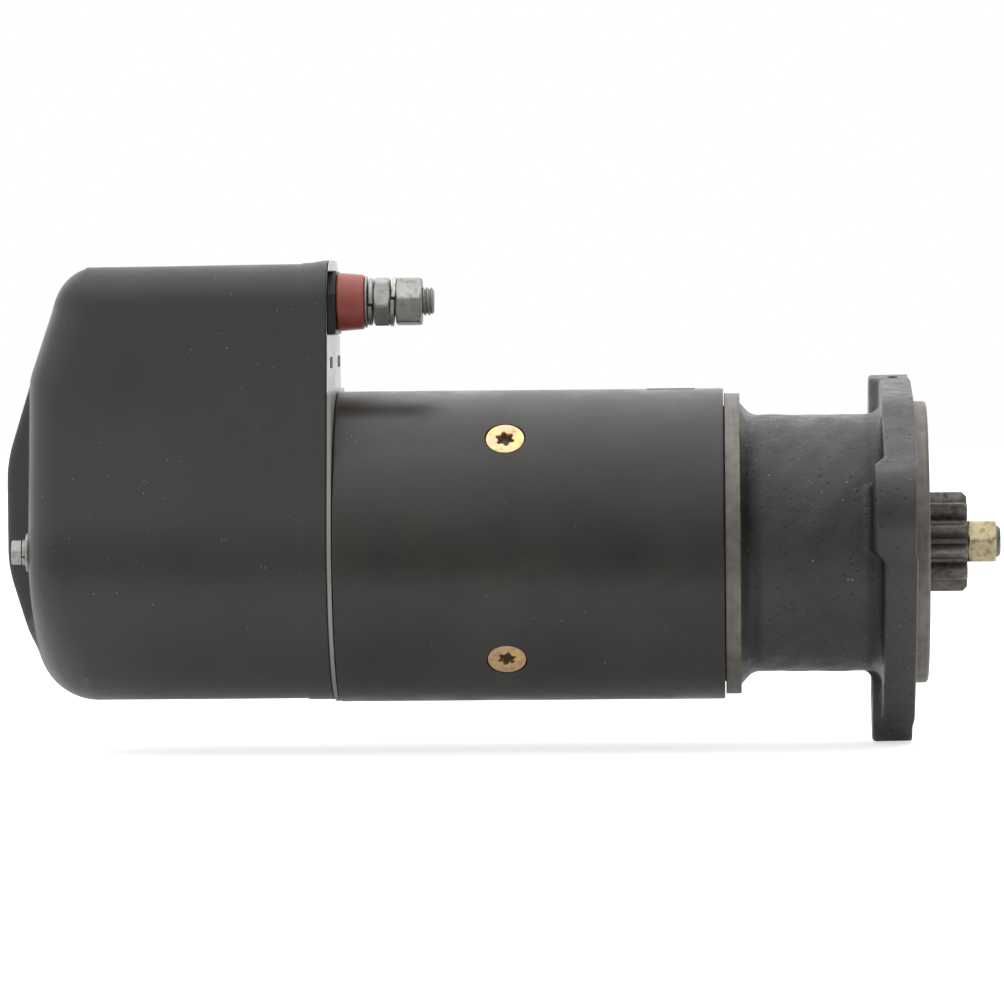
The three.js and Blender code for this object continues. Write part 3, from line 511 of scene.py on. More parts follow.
def housingMaterial(look):
    # Rough black casting with two bare machined bands, the rim at the rear and all ahead of the flange.
    # A band's mask is a smooth step in x, moved about by noise so that the paint's edge wanders.
    material, tree, shader, place = newMaterial("castIronPaint")
    axes = wire(tree, "SeparateXYZ", {0: place}).outputs
    squares = [maths(tree, "POWER", axes[k], 2.0) for k in (1, 2)]
    reach = maths(tree, "SQRT", maths(tree, "ADD", *squares))
    wander = maths(tree, "SUBTRACT", noise(tree, place, 420.0, 5.0, 0.7), 0.5)
    x = maths(tree, "MULTIPLY_ADD", wander, look["wander"] * mm, axes[0])
    onRim = ramp(tree, x, look["rimEnd"] * mm, (look["rimEnd"] - 0.12) * mm)
    outOfNeck = ramp(tree, reach, look["rimReach"] * mm, (look["rimReach"] + 0.2) * mm)
    onRim = maths(tree, "MULTIPLY", onRim, outOfNeck)
    onFace = ramp(tree, x, look["face"] * mm, (look["face"] + 0.15) * mm)
    recess = ramp(tree, x, (look["pilotFront"] - 0.9) * mm, (look["pilotFront"] - 1.2) * mm)
    inside = ramp(tree, reach, (look["recess"] + 1) * mm, look["recess"] * mm)
    inRecess = maths(tree, "MULTIPLY", recess, inside)
    bare = maths(tree, "MAXIMUM", onRim, maths(tree, "SUBTRACT", onFace, inRecess))
    bare = wire(tree, "Clamp", {0: bare}).outputs[0]

    skin = useGroup(tree, castSkin, place)
    marks = useGroup(tree, toolMarks, place, Lines=1500.0)
    specks = useGroup(tree, dust, place, Scale=560.0, Share=0.2, Dot=0.22)["Mask"]
    dry = ramp(tree, noise(tree, place, 620.0, 4.0, 0.75), 0.60, 0.72)
    patches = ramp(tree, noise(tree, place, 52.0, 4.0, 0.6), 0.52, 0.66)
    scratches = maths(tree, "MULTIPLY", maths(tree, "MULTIPLY", dry, patches), 0.5)
    drift = ramp(tree, noise(tree, place, 40.0, 5.0), 0.3, 0.7)
    paint = mixed(tree, drift, look["paintDark"], look["paintLight"])
    paint = mixed(tree, maths(tree, "MULTIPLY", skin["Pits"], 0.6), paint, look["pitAndShadeTone"])
    # painted shade in the neck's two fillets, beside the rim and beside the flange, mixed towards the
    # near-black pit tone
    ends = [ramp(tree, x, (end - step) * mm, end * mm) for end, step in zip(look["shadedRoots"], (-3.5, 3.5))]
    inNeck = ramp(tree, reach, (look["neckReach"] + 4) * mm, look["neckReach"] * mm)
    shadedRoots = maths(tree, "MULTIPLY", maths(tree, "MAXIMUM", *ends), inNeck)
    paint = mixed(tree, maths(tree, "MULTIPLY", shadedRoots, 0.8), paint, look["pitAndShadeTone"])
    grit = wire(tree, "Clamp", {0: maths(tree, "ADD", specks, scratches)}).outputs[0]
    paint = mixed(tree, maths(tree, "MULTIPLY", grit, look["grit"]), paint, look["gritTone"])
    metal = mixed(tree, ramp(tree, marks["Tone"], 0.35, 0.65), look["bareDark"], look["bareLight"])
    rust = ramp(tree, noise(tree, place, 300.0, 6.0, 0.7), 0.6, 0.72)
    metal = mixed(tree, maths(tree, "MULTIPLY", rust, 0.35), metal, look["rustTone"])
    feed(tree, shader["Base Color"], mixed(tree, bare, paint, metal))

    paintRough = ramp(tree, noise(tree, place, 110.0, 5.0, 0.7), 0.3, 0.7, look["gloss"], look["gloss"] + 0.2)
    rough = wire(tree, "Mix", {0: bare, 2: paintRough, 3: 0.46}).outputs[0]
    feed(tree, shader["Roughness"], rough)
    feed(tree, shader["Metallic"], maths(tree, "MULTIPLY", bare, 0.55))
    turnedHeight = maths(tree, "MULTIPLY", marks["Height"], 0.08)
    height = wire(tree, "Mix", {0: bare, 2: skin["Height"], 3: turnedHeight})
    relief(tree, shader, height.outputs[0], look["relief"], 0.55)
    return material


pilotFront = span("drive_end_housing")[1][0]
castIron = housingMaterial({
    "rimEnd": -72.4, "rimReach": 59.0, "face": -0.5, "pilotFront": pilotFront, "recess": 49.5, "wander": 1.1,
    "shadedRoots": (-66.0, -18.5), "neckReach": 57.0,            # where the neck's fillets get a painted shade
    "paintDark": (0.030, 0.029, 0.028, 1), "paintLight": (0.050, 0.048, 0.045, 1),
    "pitAndShadeTone": (0.008, 0.008, 0.008, 1), "grit": 0.6, "gritTone": (0.34, 0.33, 0.31, 1),
    "gloss": 0.27, "relief": 0.8,
    "bareDark": (0.155, 0.142, 0.125, 1), "bareLight": (0.225, 0.206, 0.183, 1),
    "rustTone": (0.14, 0.085, 0.05, 1)})
print("materials done")


section = {"lower": 64.0, "corner": 20.0, "cornerY": 24.0, "cornerZ": 99.0}
sectionCounts = {"top": 12, "corner": 22, "flank": 44, "lower": 80}


def coverSection():
    # Half the outline in y and z, as arcs and their common tangent, then the same mirrored.
    # Gives points and outward directions, from the top middle down the +Y side and back up.
    lower, corner, cy, cz = section["lower"], section["corner"], section["cornerY"], section["cornerZ"]
    lean = math.asin((lower - corner) / math.hypot(cy, cz)) - math.atan2(cy, cz)
    count = sectionCounts
    across = np.linspace(0, cy, count["top"], endpoint=False)
    top = np.column_stack([across, np.full(len(across), cz + corner)])
    topOut = np.tile([0.0, 1.0], (len(across), 1))
    turn = np.linspace(math.pi / 2, lean, count["corner"], endpoint=False)
    cornerOut = np.column_stack([np.cos(turn), np.sin(turn)])
    flankOut = np.array([math.cos(lean), math.sin(lean)])
    share = np.linspace(0, 1, count["flank"], endpoint=False)[:, None]
    start = np.array([cy, cz]) + corner * flankOut
    flank = start + (lower * flankOut - start) * share
    drop = np.linspace(lean, -math.pi / 2, count["lower"])
    lowerOut = np.column_stack([np.cos(drop), np.sin(drop)])
    points = np.concatenate([top, np.array([cy, cz]) + corner * cornerOut, flank, lower * lowerOut])
    outward = np.concatenate([topOut, cornerOut, np.tile(flankOut, (len(share), 1)), lowerOut])
    mirror = np.array([-1.0, 1.0])
    return [np.concatenate([half, half[-2:0:-1] * mirror]) for half in (points, outward)]


sectionPoints, sectionOut = coverSection()
spine = {"low": -12.0, "high": 84.0}      # the line in the middle that the end faces draw in to


def sectionRows(x, offset, inward):
    # Rows of the section: each at x, grown by offset along its own outward directions,
    # then drawn towards the spine by the share inward. All may be arrays over rows, or rows x columns.
    x, offset, inward = [np.atleast_1d(value) for value in (x, offset, inward)]
    x, offset, inward = [v[:, None] if v.ndim == 1 else v for v in (x, offset, inward)]
    place = sectionPoints[None] + sectionOut[None] * offset[..., None]
    middle = np.stack([np.zeros(place.shape[:2]), np.clip(place[..., 1], spine["low"], spine["high"])], -1)
    place = place + (middle - place) * inward[..., None]
    x = np.broadcast_to(x, place.shape[:2])
    return np.concatenate([x[..., None], place], -1)


cover = {
    "lip": -242.6, "wall": -366.6, "thickness": 1.5,
    "slopeFrom": 71.5, "slope": 0.32,                       # the end wall leans forward above this height
    "ridge": 11.0, "ridgeTop": 37.0, "ridgeBottom": -6.5, "ridgeHalf": 26.0,
    "joggle": -253.4, "joggleStep": 0.45, "taper": 0.8,
    "topRadius": 12.0, "sideRadius": 16.0, "bottomRadius": 25.0, "flare": 0.9,
    # soft dents in the near side: x, z, depth, width
    "dents": [(-286, 6, 0.5, 11), (-322, 61, 0.3, 13), (-285, 68, 0.26, 10),
              (-302, -12, 0.3, 14), (-262, 30, 0.15, 12)],
}


def endWall(y, z):
    # x of the end wall: level at the sides, leaning forward above, and a raised ridge in the middle.
    # The ridge is the smallest of its height, its two sloping ends and its two steep sides.
    lean = softMax(z - cover["slopeFrom"], 0.0, 3.0) * cover["slope"]
    reach = cover["ridge"] / cover["slope"]
    above = (cover["ridgeTop"] + reach - z) * cover["slope"]
    below = (z - cover["ridgeBottom"] + reach) * cover["slope"]
    sides = (cover["ridgeHalf"] + 1.5 - np.abs(y)) * 2.4
    rise = softMin(softMin(above, below, 1.6), cover["ridge"], 2.4)
    rise = softMax(softMin(rise, sides, 3.0), 0.0, 1.2)
    return cover["wall"] + lean - rise


def coverSkin():
    # Skirt: rows of the section from the lip back, with the joggle, the taper, the flare and the dents.
    # Edge: a quarter round, inset R(1 - cos t) and x R(1 - sin t) ahead of the wall.
    # End: drawn in to the spine.
    height = sectionPoints[:, 1]
    lowness = ease((-height - 5) / 45)
    highness = ease((height - 100) / 15)
    radius = cover["sideRadius"] + (cover["bottomRadius"] - cover["sideRadius"]) * lowness
    radius = radius + (cover["topRadius"] - cover["sideRadius"]) * highness
    back = endWall(*(sectionPoints - sectionOut * radius[:, None]).T) + radius
    share = np.concatenate([np.linspace(0, 0.14, 18, endpoint=False), np.linspace(0.14, 1, 42)])[:, None]
    x = cover["lip"] + (back - cover["lip"])[None] * share
    step = cover["joggleStep"] * ease((x - cover["joggle"] + 1.2) / 2.4) - cover["joggleStep"]
    narrow = -cover["taper"] * (cover["lip"] - x) / 124 * ease(height / 60)[None]
    dent = sum(-depth * np.exp(-((x - dx) ** 2 + (height - dz)[None] ** 2) / width ** 2)
               for dx, dz, depth, width in cover["dents"])
    dent = dent * (sectionPoints[:, 0] < 0) + 0.05 * np.sin(x / 13 + height / 17) * np.sin(height / 23)
    narrow = narrow + cover["flare"] * ease((x - cover["joggle"] - 2) / 9) * highness[None]
    edgeBack = narrow[-1] + step[-1]
    skirt = sectionRows(x, step + narrow + dent * ease((cover["lip"] - x) / 14) * ease((x - back) / 10), 0.0)
    t = np.linspace(0, math.pi / 2, 15)[1:, None]
    inset = -radius * (1 - np.cos(t)) + edgeBack
    edge = sectionRows(0.0, inset, 0.0)
    edge[..., 0] = endWall(edge[..., 1], edge[..., 2]) + radius * (1 - np.sin(t))
    inward = np.linspace(0, 1, 52)[1:, None]
    end = sectionRows(0.0, np.broadcast_to(inset[-1], (len(inward), len(radius))), inward)
    end[..., 0] = endWall(end[..., 1], end[..., 2])
    return np.concatenate([skirt, edge, end])


shell = makePiece("rearCoverShell", [sheet(coverSkin())], coverPaint, ["rear_cover"], sharp=60)
wallDepth = shell.modifiers.new("wall", "SOLIDIFY")
wallDepth.thickness = cover["thickness"] * mm
wallDepth.offset = -1
print("rear cover done")


def hexagonReach(flats, angle, corner=0.25):
    # Distance from the axis to a hexagon's side: half the flats over the cosine, eased at the corners.
    swing = (angle + tau / 24) % (tau / 6) - tau / 12
    return softMin(flats / 2 / np.cos(swing), flats / math.sqrt(3) - corner, 0.35)


def hexagonNut(rear, front, flats, bore, turn=0.0, crown=(1.0, 1.0)):
    # Rows along x of r = the smaller of the hexagon and a cone of 30 degrees at each end,
    # then back through the bore.
    segments = 144
    angle = np.arange(segments) * tau / segments
    lean = 1.7
    inset = np.array([0, 0.12, 0.3, 0.55, 0.85, 1.2, 1.6])
    x = np.concatenate([rear + inset, front - inset[::-1]])[:, None]
    outer = hexagonReach(flats, angle)[None]
    rearCone = flats / 2 - 0.35 * crown[0] + (x - rear) * lean + (1 - crown[0]) * 9
    frontCone = flats / 2 - 0.35 * crown[1] + (front - x) * lean + (1 - crown[1]) * 9
    r = softMin(softMin(outer, rearCone, 0.2), frontCone, 0.2)
    boreRows = np.array([[front, bore + 0.6], [front - 0.6, bore], [rear + 0.6, bore], [rear, bore + 0.6]])
    path = np.concatenate([np.stack([np.broadcast_to(x, r.shape), r], -1),
                           np.repeat(boreRows[:, None], segments, 1)])
    return sheet(spun(turned(path, segments), turn), wrapRows=True)


def thread(rear, front, radius, pitch, tip=1.0, segments=72):
    # A 60 degree thread: r drops and climbs once per pitch, shifted round the axis as a helix,
    # with a coned tip.
    angle = np.arange(segments) * tau / segments
    x = np.arange(rear, front + 1e-6, pitch / 12)[:, None]
    phase = (x / pitch - angle[None] / tau) % 1
    groove = 0.6 * pitch * (1 - softMin(np.abs(2 * phase - 1) * 1.25, np.full_like(phase, 1.0), 0.12))
    r = softMin(radius - groove, radius - tip + (front - x) * 1.0, 0.1)
    path = np.stack([np.broadcast_to(x, r.shape), r], -1)
    ends = [np.stack([np.full((1, segments), at), np.full((1, segments), 0.0)], -1) for at in (rear, front)]
    return sheet(turned(np.concatenate([ends[0], path, ends[1]]), segments))


def springWasher(rear, depth, outer, inner, gapAt, lift):
    # A rectangular wire carried round 352 degrees while it climbs, so that its ends stand apart.
    front = rear + depth
    corners = [[rear, inner, 0.2], [rear, outer, 0.35], [front, outer, 0.35], [front, inner, 0.2]]
    return sheet(carried(roundedPath(corners), gapAt + 4, gapAt + 356, 110, lift))


def tilted(sheets, degrees, middle):
    # Leans a washer about the Y axis through its own middle.
    points, quads = sheets
    c, s = math.cos(math.radians(degrees)), math.sin(math.radians(degrees))
    return (points - middle) @ np.array([[c, 0, -s], [0, 1, 0], [s, 0, c]]) + middle, quads


def at(sheets, x=0.0, y=0.0, z=0.0):
    points, quads = sheets
    return moved(points, x, y, z), quads


coverScrew = {"y": 40.0, "seat": -366.9, "head": 4.0, "flats": 10.0, "washer": 8.0, "turns": (12, 31),
              "shank": 2.9, "tip": -353.0, "washers": 3.2}
for number, side in enumerate((-1, 1)):
    seat, shank = coverScrew["seat"], coverScrew["shank"]
    headSeat = seat - coverScrew["washers"]
    headTop = headSeat - coverScrew["head"]
    parts = [
        ring([[seat - 1.2, 3.1, 0.2], [seat - 1.2, coverScrew["washer"], 0.35],
              [seat, coverScrew["washer"], 0.2], [seat, 3.1, 0.1]], 72),
        springWasher(seat - 2.9, 1.5, 5.3, 3.1, 200, 0.15),
        hexagonNut(headTop, headSeat, coverScrew["flats"], 1.2, coverScrew["turns"][number], (1, 0.15)),
        bar([[headTop + 0.5, 0, 0], [headTop + 0.5, shank - 0.5, 0.3], [headSeat - 1, shank, 0.3],
             [coverScrew["tip"], shank, 0.4], [coverScrew["tip"], 0, 0]], 48),
    ]
    makePiece(f"coverBolt{number + 1}", [at(part, y=side * coverScrew["y"]) for part in parts],
              zincPlate, [f"cover_screw_{number + 1}"])


# The end shield is the bright rim that the cover closes on, with a flat face above the tube.
shieldLow = span("commutator_end_shield")[0]
shield = {"rear": -250.0, "rimRear": -242.25, "rimFront": -240.5, "proud": 0.75, "spigot": -2.0,
          "face": -241.9, "faceFrom": 66.0, "seat": -244.2, "hubRear": shieldLow[0],
          "hub": 18.0, "hubBore": 14.8, "hubHole": 5.0, "hubWall": 2.5}
path = roundedPath([[shield["rear"], shield["spigot"], 0], [shield["rimRear"], shield["spigot"], 0],
                    [shield["rimRear"], shield["proud"], 0.35], [shield["rimFront"], shield["proud"], 0.35],
                    [shield["rimFront"], shield["spigot"], 0]])
rows = np.concatenate([
    sectionRows(np.full(10, shield["rear"]), np.full(10, shield["spigot"]), np.linspace(1, 0, 10)),
    sectionRows(path[:, 0], path[:, 1], np.zeros(len(path))),
    sectionRows(np.full(10, shield["rimFront"]), np.full(10, shield["spigot"]), np.linspace(0, 1, 10)),
])
hubFloor = shield["hubRear"] + shield["hubWall"]
hub = ring([[shield["hubRear"], shield["hubHole"], 0.4], [shield["hubRear"], shield["hub"], 1.0],
            [shield["rear"], shield["hub"], 0.0], [shield["rear"], shield["hubBore"], 0.0],
            [hubFloor, shield["hubBore"], 0.0], [hubFloor, shield["hubHole"], 0.3]], 72)
endShield = makePiece("endShieldCasting", [sheet(rows), hub], rimAluminium, ["commutator_end_shield"])


def boxSheet(rear, front, left, right, bottom, top):
    return slab(np.array([[left, bottom], [right, bottom], [right, top], [left, top]], float), rear, front)


# The seat behind the terminals is cut first, then the face above the tube.
past = shield["rimFront"] + 1
drill(endShield, [boxSheet(shield["seat"], past, -80, 80, 88.8, 115.7)])
drill(endShield, [boxSheet(shield["face"], past, -80, 80, shield["faceFrom"], 130)])
# two dark slabs in the face, side by side: a painted shade where the face has two slots
slotShade = {"lefts": (-31, 28), "width": 17, "bottom": 75.1, "top": 79.8, "sunk": 1, "proud": 0.12}
slotShadeSlabs = [boxSheet(shield["face"] - slotShade["sunk"], shield["face"] + slotShade["proud"],
                  left, left + slotShade["width"], slotShade["bottom"], slotShade["top"]) for left in slotShade["lefts"]]
slotShadePiece = makePiece("endShieldSlotShade", slotShadeSlabs, sealRubber, ["commutator_end_shield"])


studLow, studHigh = span("terminal_stud")
terminalZ = float(studLow[2] + studHigh[2]) / 2
plateLow, plateHigh = span("terminal_plate")
plate = {"chamfer": 9.4, "innerChamfer": 8.0, "step": -243.9, "inset": 2.5, "round": 0.8}


def plateOutline(inset, chamfer):
    # Straight sides with the two upper corners cut off and every corner slightly rounded.
    left, right = plateLow[1] + inset, plateHigh[1] - inset
    bottom, top, r = plateLow[2] + inset, plateHigh[2] - inset, plate["round"]
    return roundedPath([[left, bottom, r], [right, bottom, r], [right, top - chamfer, r],
                        [right - chamfer, top, r], [left + chamfer, top, r], [left, top - chamfer, r]], 5)


terminalBoard = makePiece("terminalBoard", [
    slab(plateOutline(0.0, plate["chamfer"]), plate["step"], plateHigh[0]),
    slab(plateOutline(plate["inset"], plate["innerChamfer"]), plateLow[0], plate["step"] + 0.2),
], blackPlastic, ["terminal_plate"])
bevel(terminalBoard, 0.4)

insulatorLow, insulatorHigh = span("terminal_insulator")
nuts = {"flats": 19.0, "bore": 6.1, "jamTurn": 24.0, "outerTurn": 8.0}
up = {"z": terminalZ}
makePiece("terminalInsulator", [at(ring([
    [insulatorLow[0], 6.3, 0.2], [insulatorLow[0], 12.3, 0.8], [insulatorHigh[0], 11.4, 0.9],
    [insulatorHigh[0], 6.3, 0.2]], 128, 6), **up)], redPlastic, ["terminal_insulator"])
makePiece("terminalStud", [at(thread(studLow[0], studHigh[0], 5.98, 1.75, 1.3), **up)],
          zincPlate, ["terminal_stud"])
washerLow, washerHigh = span("terminal_washer")
makePiece("terminalWasher", [at(tube(washerLow[0], washerHigh[0], 10.8, 6.4, 0.3), **up)],
          zincPlate, ["terminal_washer"])
springRear = span("terminal_spring_washer")[0][0]
makePiece("terminalSpringWasher", [at(springWasher(springRear, 1.75, 9.9, 6.2, 188, 0.42), **up)],
          zincPlate, ["terminal_spring_washer"])
for name, node, turn in (("terminalJamNut", "terminal_jam_nut", nuts["jamTurn"]),
                         ("terminalOuterNut", "terminal_outer_nut", nuts["outerTurn"])):
    low, high = span(node)
    nut = hexagonNut(low[0], high[0], nuts["flats"], nuts["bore"], turn)
    makePiece(name, [at(nut, **up)], zincPlate, [node])
lockLow, lockHigh = span("terminal_lug_washer")
lockMiddle = np.array([(lockLow[0] + lockHigh[0]) / 2, 0.0, 0.0])
lock = tilted(springWasher(lockLow[0] - 0.1, 1.6, 10.4, 6.3, 172, 0.3), 3.0, lockMiddle)
makePiece("terminalLockWasher", [at(lock, **up)], paleZinc, ["terminal_lug_washer"])

controlLow, controlHigh = span("control_terminal_nut")
controlMiddle = (controlLow + controlHigh) / 2
control = {"y": float(controlMiddle[1]), "z": float(controlMiddle[2])}
collarLow, collarHigh = span("control_terminal_insulator")
makePiece("controlInsulator", [at(tube(collarLow[0], collarHigh[0], 5.2, 2.8, 0.5, 72), **control)],
          redPlastic, ["control_terminal_insulator"])
pinLow, pinHigh = span("control_terminal_stud")
makePiece("controlStud", [at(thread(pinLow[0], pinHigh[0], 2.5, 0.8, 0.5, 48), **control)],
          zincPlate, ["control_terminal_stud"])
makePiece("controlNut", [at(hexagonNut(controlLow[0], controlHigh[0], 8.0, 2.55, 14.0), **control)],
          zincPlate, ["control_terminal_nut"])
print("terminals done")


tubeLow, tubeHigh = span("field_frame")
fieldTube = {"rear": tubeLow[0], "front": tubeHigh[0], "outer": tubeHigh[2], "inner": 58.0,
             "screwX": -169.2, "hole": 8.45, "patchLines": 12, "holeLine": 7, "sink": 3.0,
             "lip": 1.2, "roundUpTo": 0.64, "fadeOver": 0.34}


def fieldTubeSkin():
    # Round each screw the grid's squares turn into circles: a point at square distance m from the screw
    # moves to distance m in its own direction, fully near the hole and not at all at the patch's edge.
    # Lines inside the hole then drop inwards, which makes its wall and floor.
    size = fieldTube["hole"] * fieldTube["patchLines"] / fieldTube["holeLine"]
    lines = np.linspace(-1, 1, 2 * fieldTube["patchLines"] + 1)
    patch = np.degrees(size / fieldTube["outer"])
    between = np.linspace(patch, 90 - patch, 22)[1:-1]
    angles = [centre + np.concatenate([patch * lines, between]) for centre in poleAngles]
    angle = np.radians(np.concatenate(angles))
    lip = fieldTube["lip"]
    rear = np.linspace(fieldTube["rear"] + lip, fieldTube["screwX"] - size, 14)[:-1]
    front = np.linspace(fieldTube["screwX"] + size, fieldTube["front"] - lip, 18)[1:]
    x = np.concatenate([rear, fieldTube["screwX"] + size * lines, front])
    x, angle = np.meshgrid(x, angle, indexing="ij")
    nearest = np.radians(np.round((np.degrees(angle) - 45) / 90) * 90 + 45)
    a, b = (angle - nearest) * fieldTube["outer"] / size, (x - fieldTube["screwX"]) / size
    square = np.maximum(np.abs(a), np.abs(b))
    keep = ease((square - fieldTube["roundUpTo"]) / fieldTube["fadeOver"])
    rounding = (1 - keep) * square / np.maximum(np.hypot(a, b), 1e-9)
    line = np.round(square * fieldTube["patchLines"])
    wall = fieldTube["holeLine"] / fieldTube["patchLines"]
    inHole = line < fieldTube["holeLine"]
    grow = np.where(line == fieldTube["holeLine"] - 1, wall / np.maximum(square, 1e-9), 1.0)
    factor = (rounding + keep) * grow
    drop = np.where(inHole, fieldTube["sink"], 0.0)
    r = fieldTube["outer"] - drop
    theta = nearest + a * factor * size / fieldTube["outer"]
    skin = np.stack([fieldTube["screwX"] + b * factor * size, r * np.cos(theta), r * np.sin(theta)], -1)
    skin[:, :, 0] = np.where(square < 1, skin[:, :, 0], x)
    far = np.stack([x, r * np.cos(angle), r * np.sin(angle)], -1)
    skin = np.where((square < 1)[..., None], skin, far)
    path = roundedPath([
        [fieldTube["front"] - lip, fieldTube["outer"], 0], [fieldTube["front"], fieldTube["outer"], 0.7],
        [fieldTube["front"], fieldTube["inner"], 0.5], [fieldTube["rear"], fieldTube["inner"], 0.5],
        [fieldTube["rear"], fieldTube["outer"], 0.7], [fieldTube["rear"] + lip, fieldTube["outer"], 0]])
    turn = angle[:1]
    rest = np.stack([np.broadcast_to(path[:, :1], (len(path), turn.shape[1])),
                     path[:, 1:] * np.cos(turn), path[:, 1:] * np.sin(turn)], -1)
    return np.concatenate([skin, rest])


makePiece("fieldTubeShell", [sheet(fieldTubeSkin(), wrapRows=True)], framePaint, ["field_frame"], sharp=25)


def outwards(sheets, x, degrees):
    # Stands a piece made along X on the tube: its X points out, its Y lies along the motor.
    c, s = math.cos(math.radians(degrees)), math.sin(math.radians(degrees))
    points, quads = sheets
    return points @ np.array([[0, c, s], [1, 0, 0], [0, s, -c]]) + np.array([x, 0, 0]), quads


poleScrew = {"head": 8.05, "shank": 5.0, "seat": 64.55, "end": 49.0,
             "recess": 3.3, "lobe": 0.62, "turns": (8, 20, 41, 2)}


def poleScrewSheet(turn):
    # A countersunk head with round edges and a shallow dish; its recess is r = recess + lobe cos(6 angle).
    segments = 144
    angle = np.arange(segments) * tau / segments
    star = poleScrew["recess"] + poleScrew["lobe"] * np.cos(6 * (angle + math.radians(turn)))
    seat, head = poleScrew["seat"], poleScrew["head"]
    end, shank = poleScrew["end"], poleScrew["shank"]
    path = roundedPath([
        [end, 0, 0], [end, shank, 0.4], [seat - 4.2, shank, 0.5], [seat - 0.9, head, 0.3], [seat, head, 0.35],
        [seat - 0.08, star + 0.3, 0.2], [seat - 0.5, star - 0.05, 0.2],
        [seat - 3.0, star * 0.93 - 0.1, 0.4], [seat - 3.4, 0, 0]], 4)
    return sheet(turned(path, segments))


for number, degrees in enumerate(poleAngles):
    makePiece(f"poleScrew{number + 1}",
              [outwards(poleScrewSheet(poleScrew["turns"][number]), fieldTube["screwX"], degrees)],
              goldPlate, [f"pole_screw_{number + 1}"])

labelLow, labelHigh = span("rating_plate")
label = {"under": 65.05, "face": 65.32, "edge": 65.6}
labelTurn = [math.degrees(math.acos(y / label["edge"])) for y in (labelHigh[1], labelLow[1])]
labelProfile = roundedPath([[labelLow[0], label["under"], 0], [labelLow[0], label["face"], 0.1],
                            [labelHigh[0], label["face"], 0.1], [labelHigh[0], label["under"], 0]])
makePiece("ratingLabel", [sheet(carried(labelProfile, *labelTurn, 40))], labelFoil, ["rating_plate"])
print("field frame done")


housing = {
    "rear": -84.0, "spigot": 57.7, "cavity": 46.7,
    "rimRear": -78.8, "rimFront": -72.3, "rim": 62.9, "neck": 53.7,
    "flangeBack": -13.5, "flange": 62.3, "pilot": 58.9, "front": pilotFront,
    "lugBack": -17.5, "lugFace": -0.8, "lugCircle": 68.0, "lugRadius": 19.6, "lugHole": 6.5,
    "lugAngles": (167.3, 47.3, -72.7), "padSwing": 18.0,
    "noseBore": 22.6, "seal": 19.3, "bearing": 17.3, "segments": 900,
}


def swingFrom(angle, degrees):      # how far round an angle is from a direction
    return np.abs((angle - math.radians(degrees) + math.pi) % tau - math.pi)


def flangeOutline(angle):
    # Distance from the axis to the flange's edge, a rounded triangle: the flange's circle, three ear circles,
    # and their common tangents. A tangent at angle a from the ear is R / cos(turn - a), and the ear's tip is
    # c cos(a) + sqrt(r2 - c2 sin2(a)).
    edge = np.full_like(angle, housing["flange"])
    c, tip = housing["lugCircle"], housing["lugRadius"]
    turn = math.acos((housing["flange"] - tip) / c)
    touch = math.atan2(tip * math.sin(turn), c + tip * math.cos(turn))
    for degrees in housing["lugAngles"]:
        swing = swingFrom(angle, degrees)
        inner = np.sqrt(np.maximum(tip ** 2 - (c * np.sin(swing)) ** 2, 0))
        straight = housing["flange"] / np.cos(turn - swing)
        edge = np.where(swing < turn, straight, edge)
        edge = np.where(swing < touch, c * np.cos(swing) + inner, edge)
    return edge


def neckWave(x, angle):      # the cast neck isn't quite round
    return (0.16 * np.sin(3 * angle + x / 6) + 0.12 * np.sin(7 * angle - x / 4)
            + 0.08 * np.sin(17 * angle + x / 2.3))


def housingSkin():
    # One closed profile per angle: spigot, rim, neck, flange back, edge, face, pilot, front recess and bores.
    # Only the flange's back, edge and face change with the angle, so the ears grow out of it.
    angle = np.arange(housing["segments"]) * tau / housing["segments"]
    edge = flangeOutline(angle)
    nearest = np.min([swingFrom(angle, degrees) for degrees in housing["lugAngles"]], axis=0)
    ear = ease((math.radians(housing["padSwing"]) - nearest) / 0.09)
    back = housing["flangeBack"] + (housing["lugBack"] - housing["flangeBack"]) * ear
    face = housing["lugFace"] * ear
    front = housing["front"]
    path = roundedPath([
        [housing["rear"], housing["cavity"], 0.6], [housing["rear"], housing["spigot"], 0.6],
        [housing["rimRear"], housing["spigot"], 0], [housing["rimRear"], housing["rim"], 0.4],
        [housing["rimFront"], housing["rim"], 0.5], [housing["rimFront"], 58.9, 0.8],
        [-67.6, housing["neck"], 6.5], [back - 0.4, housing["neck"], 5.0],
        [back, edge, 1.7], [face, edge, 0.8], [face, housing["pilot"], 0.3],
        [front, housing["pilot"], 1.6], [front, 50.2, 0.8], [2.5, 48.2, 1.6],
        [2.5, 33.2, 1.6], [front, 31.2, 0.8],
        [front, housing["noseBore"], 0.8], [-7, housing["noseBore"], 0.3], [-7, housing["seal"], 0],
        [-14, housing["seal"], 0], [-14, housing["bearing"], 0], [-46, housing["bearing"], 0.4], [-46, 24, 1],
        [-15, 24, 2], [-15, housing["cavity"], 3],
    ], 6)
    points = turned(path, housing["segments"])
    x = path[..., 0]
    outside = (path[..., 1] > 50) & (x > -71) & (x < -15)
    points[..., 1:] *= (1 + outside * neckWave(x, angle[None]) / 54)[..., None]
    return points


def neckRows(points):
    # Splits the long straight stretch of the neck into even steps so that its waves show.
    start = int(np.argmax(np.diff(points[:, 0, 0]) > 15))
    share = np.linspace(0, 1, 26)[1:-1, None, None]
    x0, x1 = points[start], points[start + 1]
    between = x0 + (x1 - x0) * share
    wave = neckWave(between[..., 0], np.arctan2(between[..., 2], between[..., 1]))
    reach = np.hypot(between[..., 1], between[..., 2])
    between[..., 1:] *= ((housing["neck"] + wave) / reach)[..., None]
    return np.concatenate([points[:start + 1], between, points[start + 1:]])


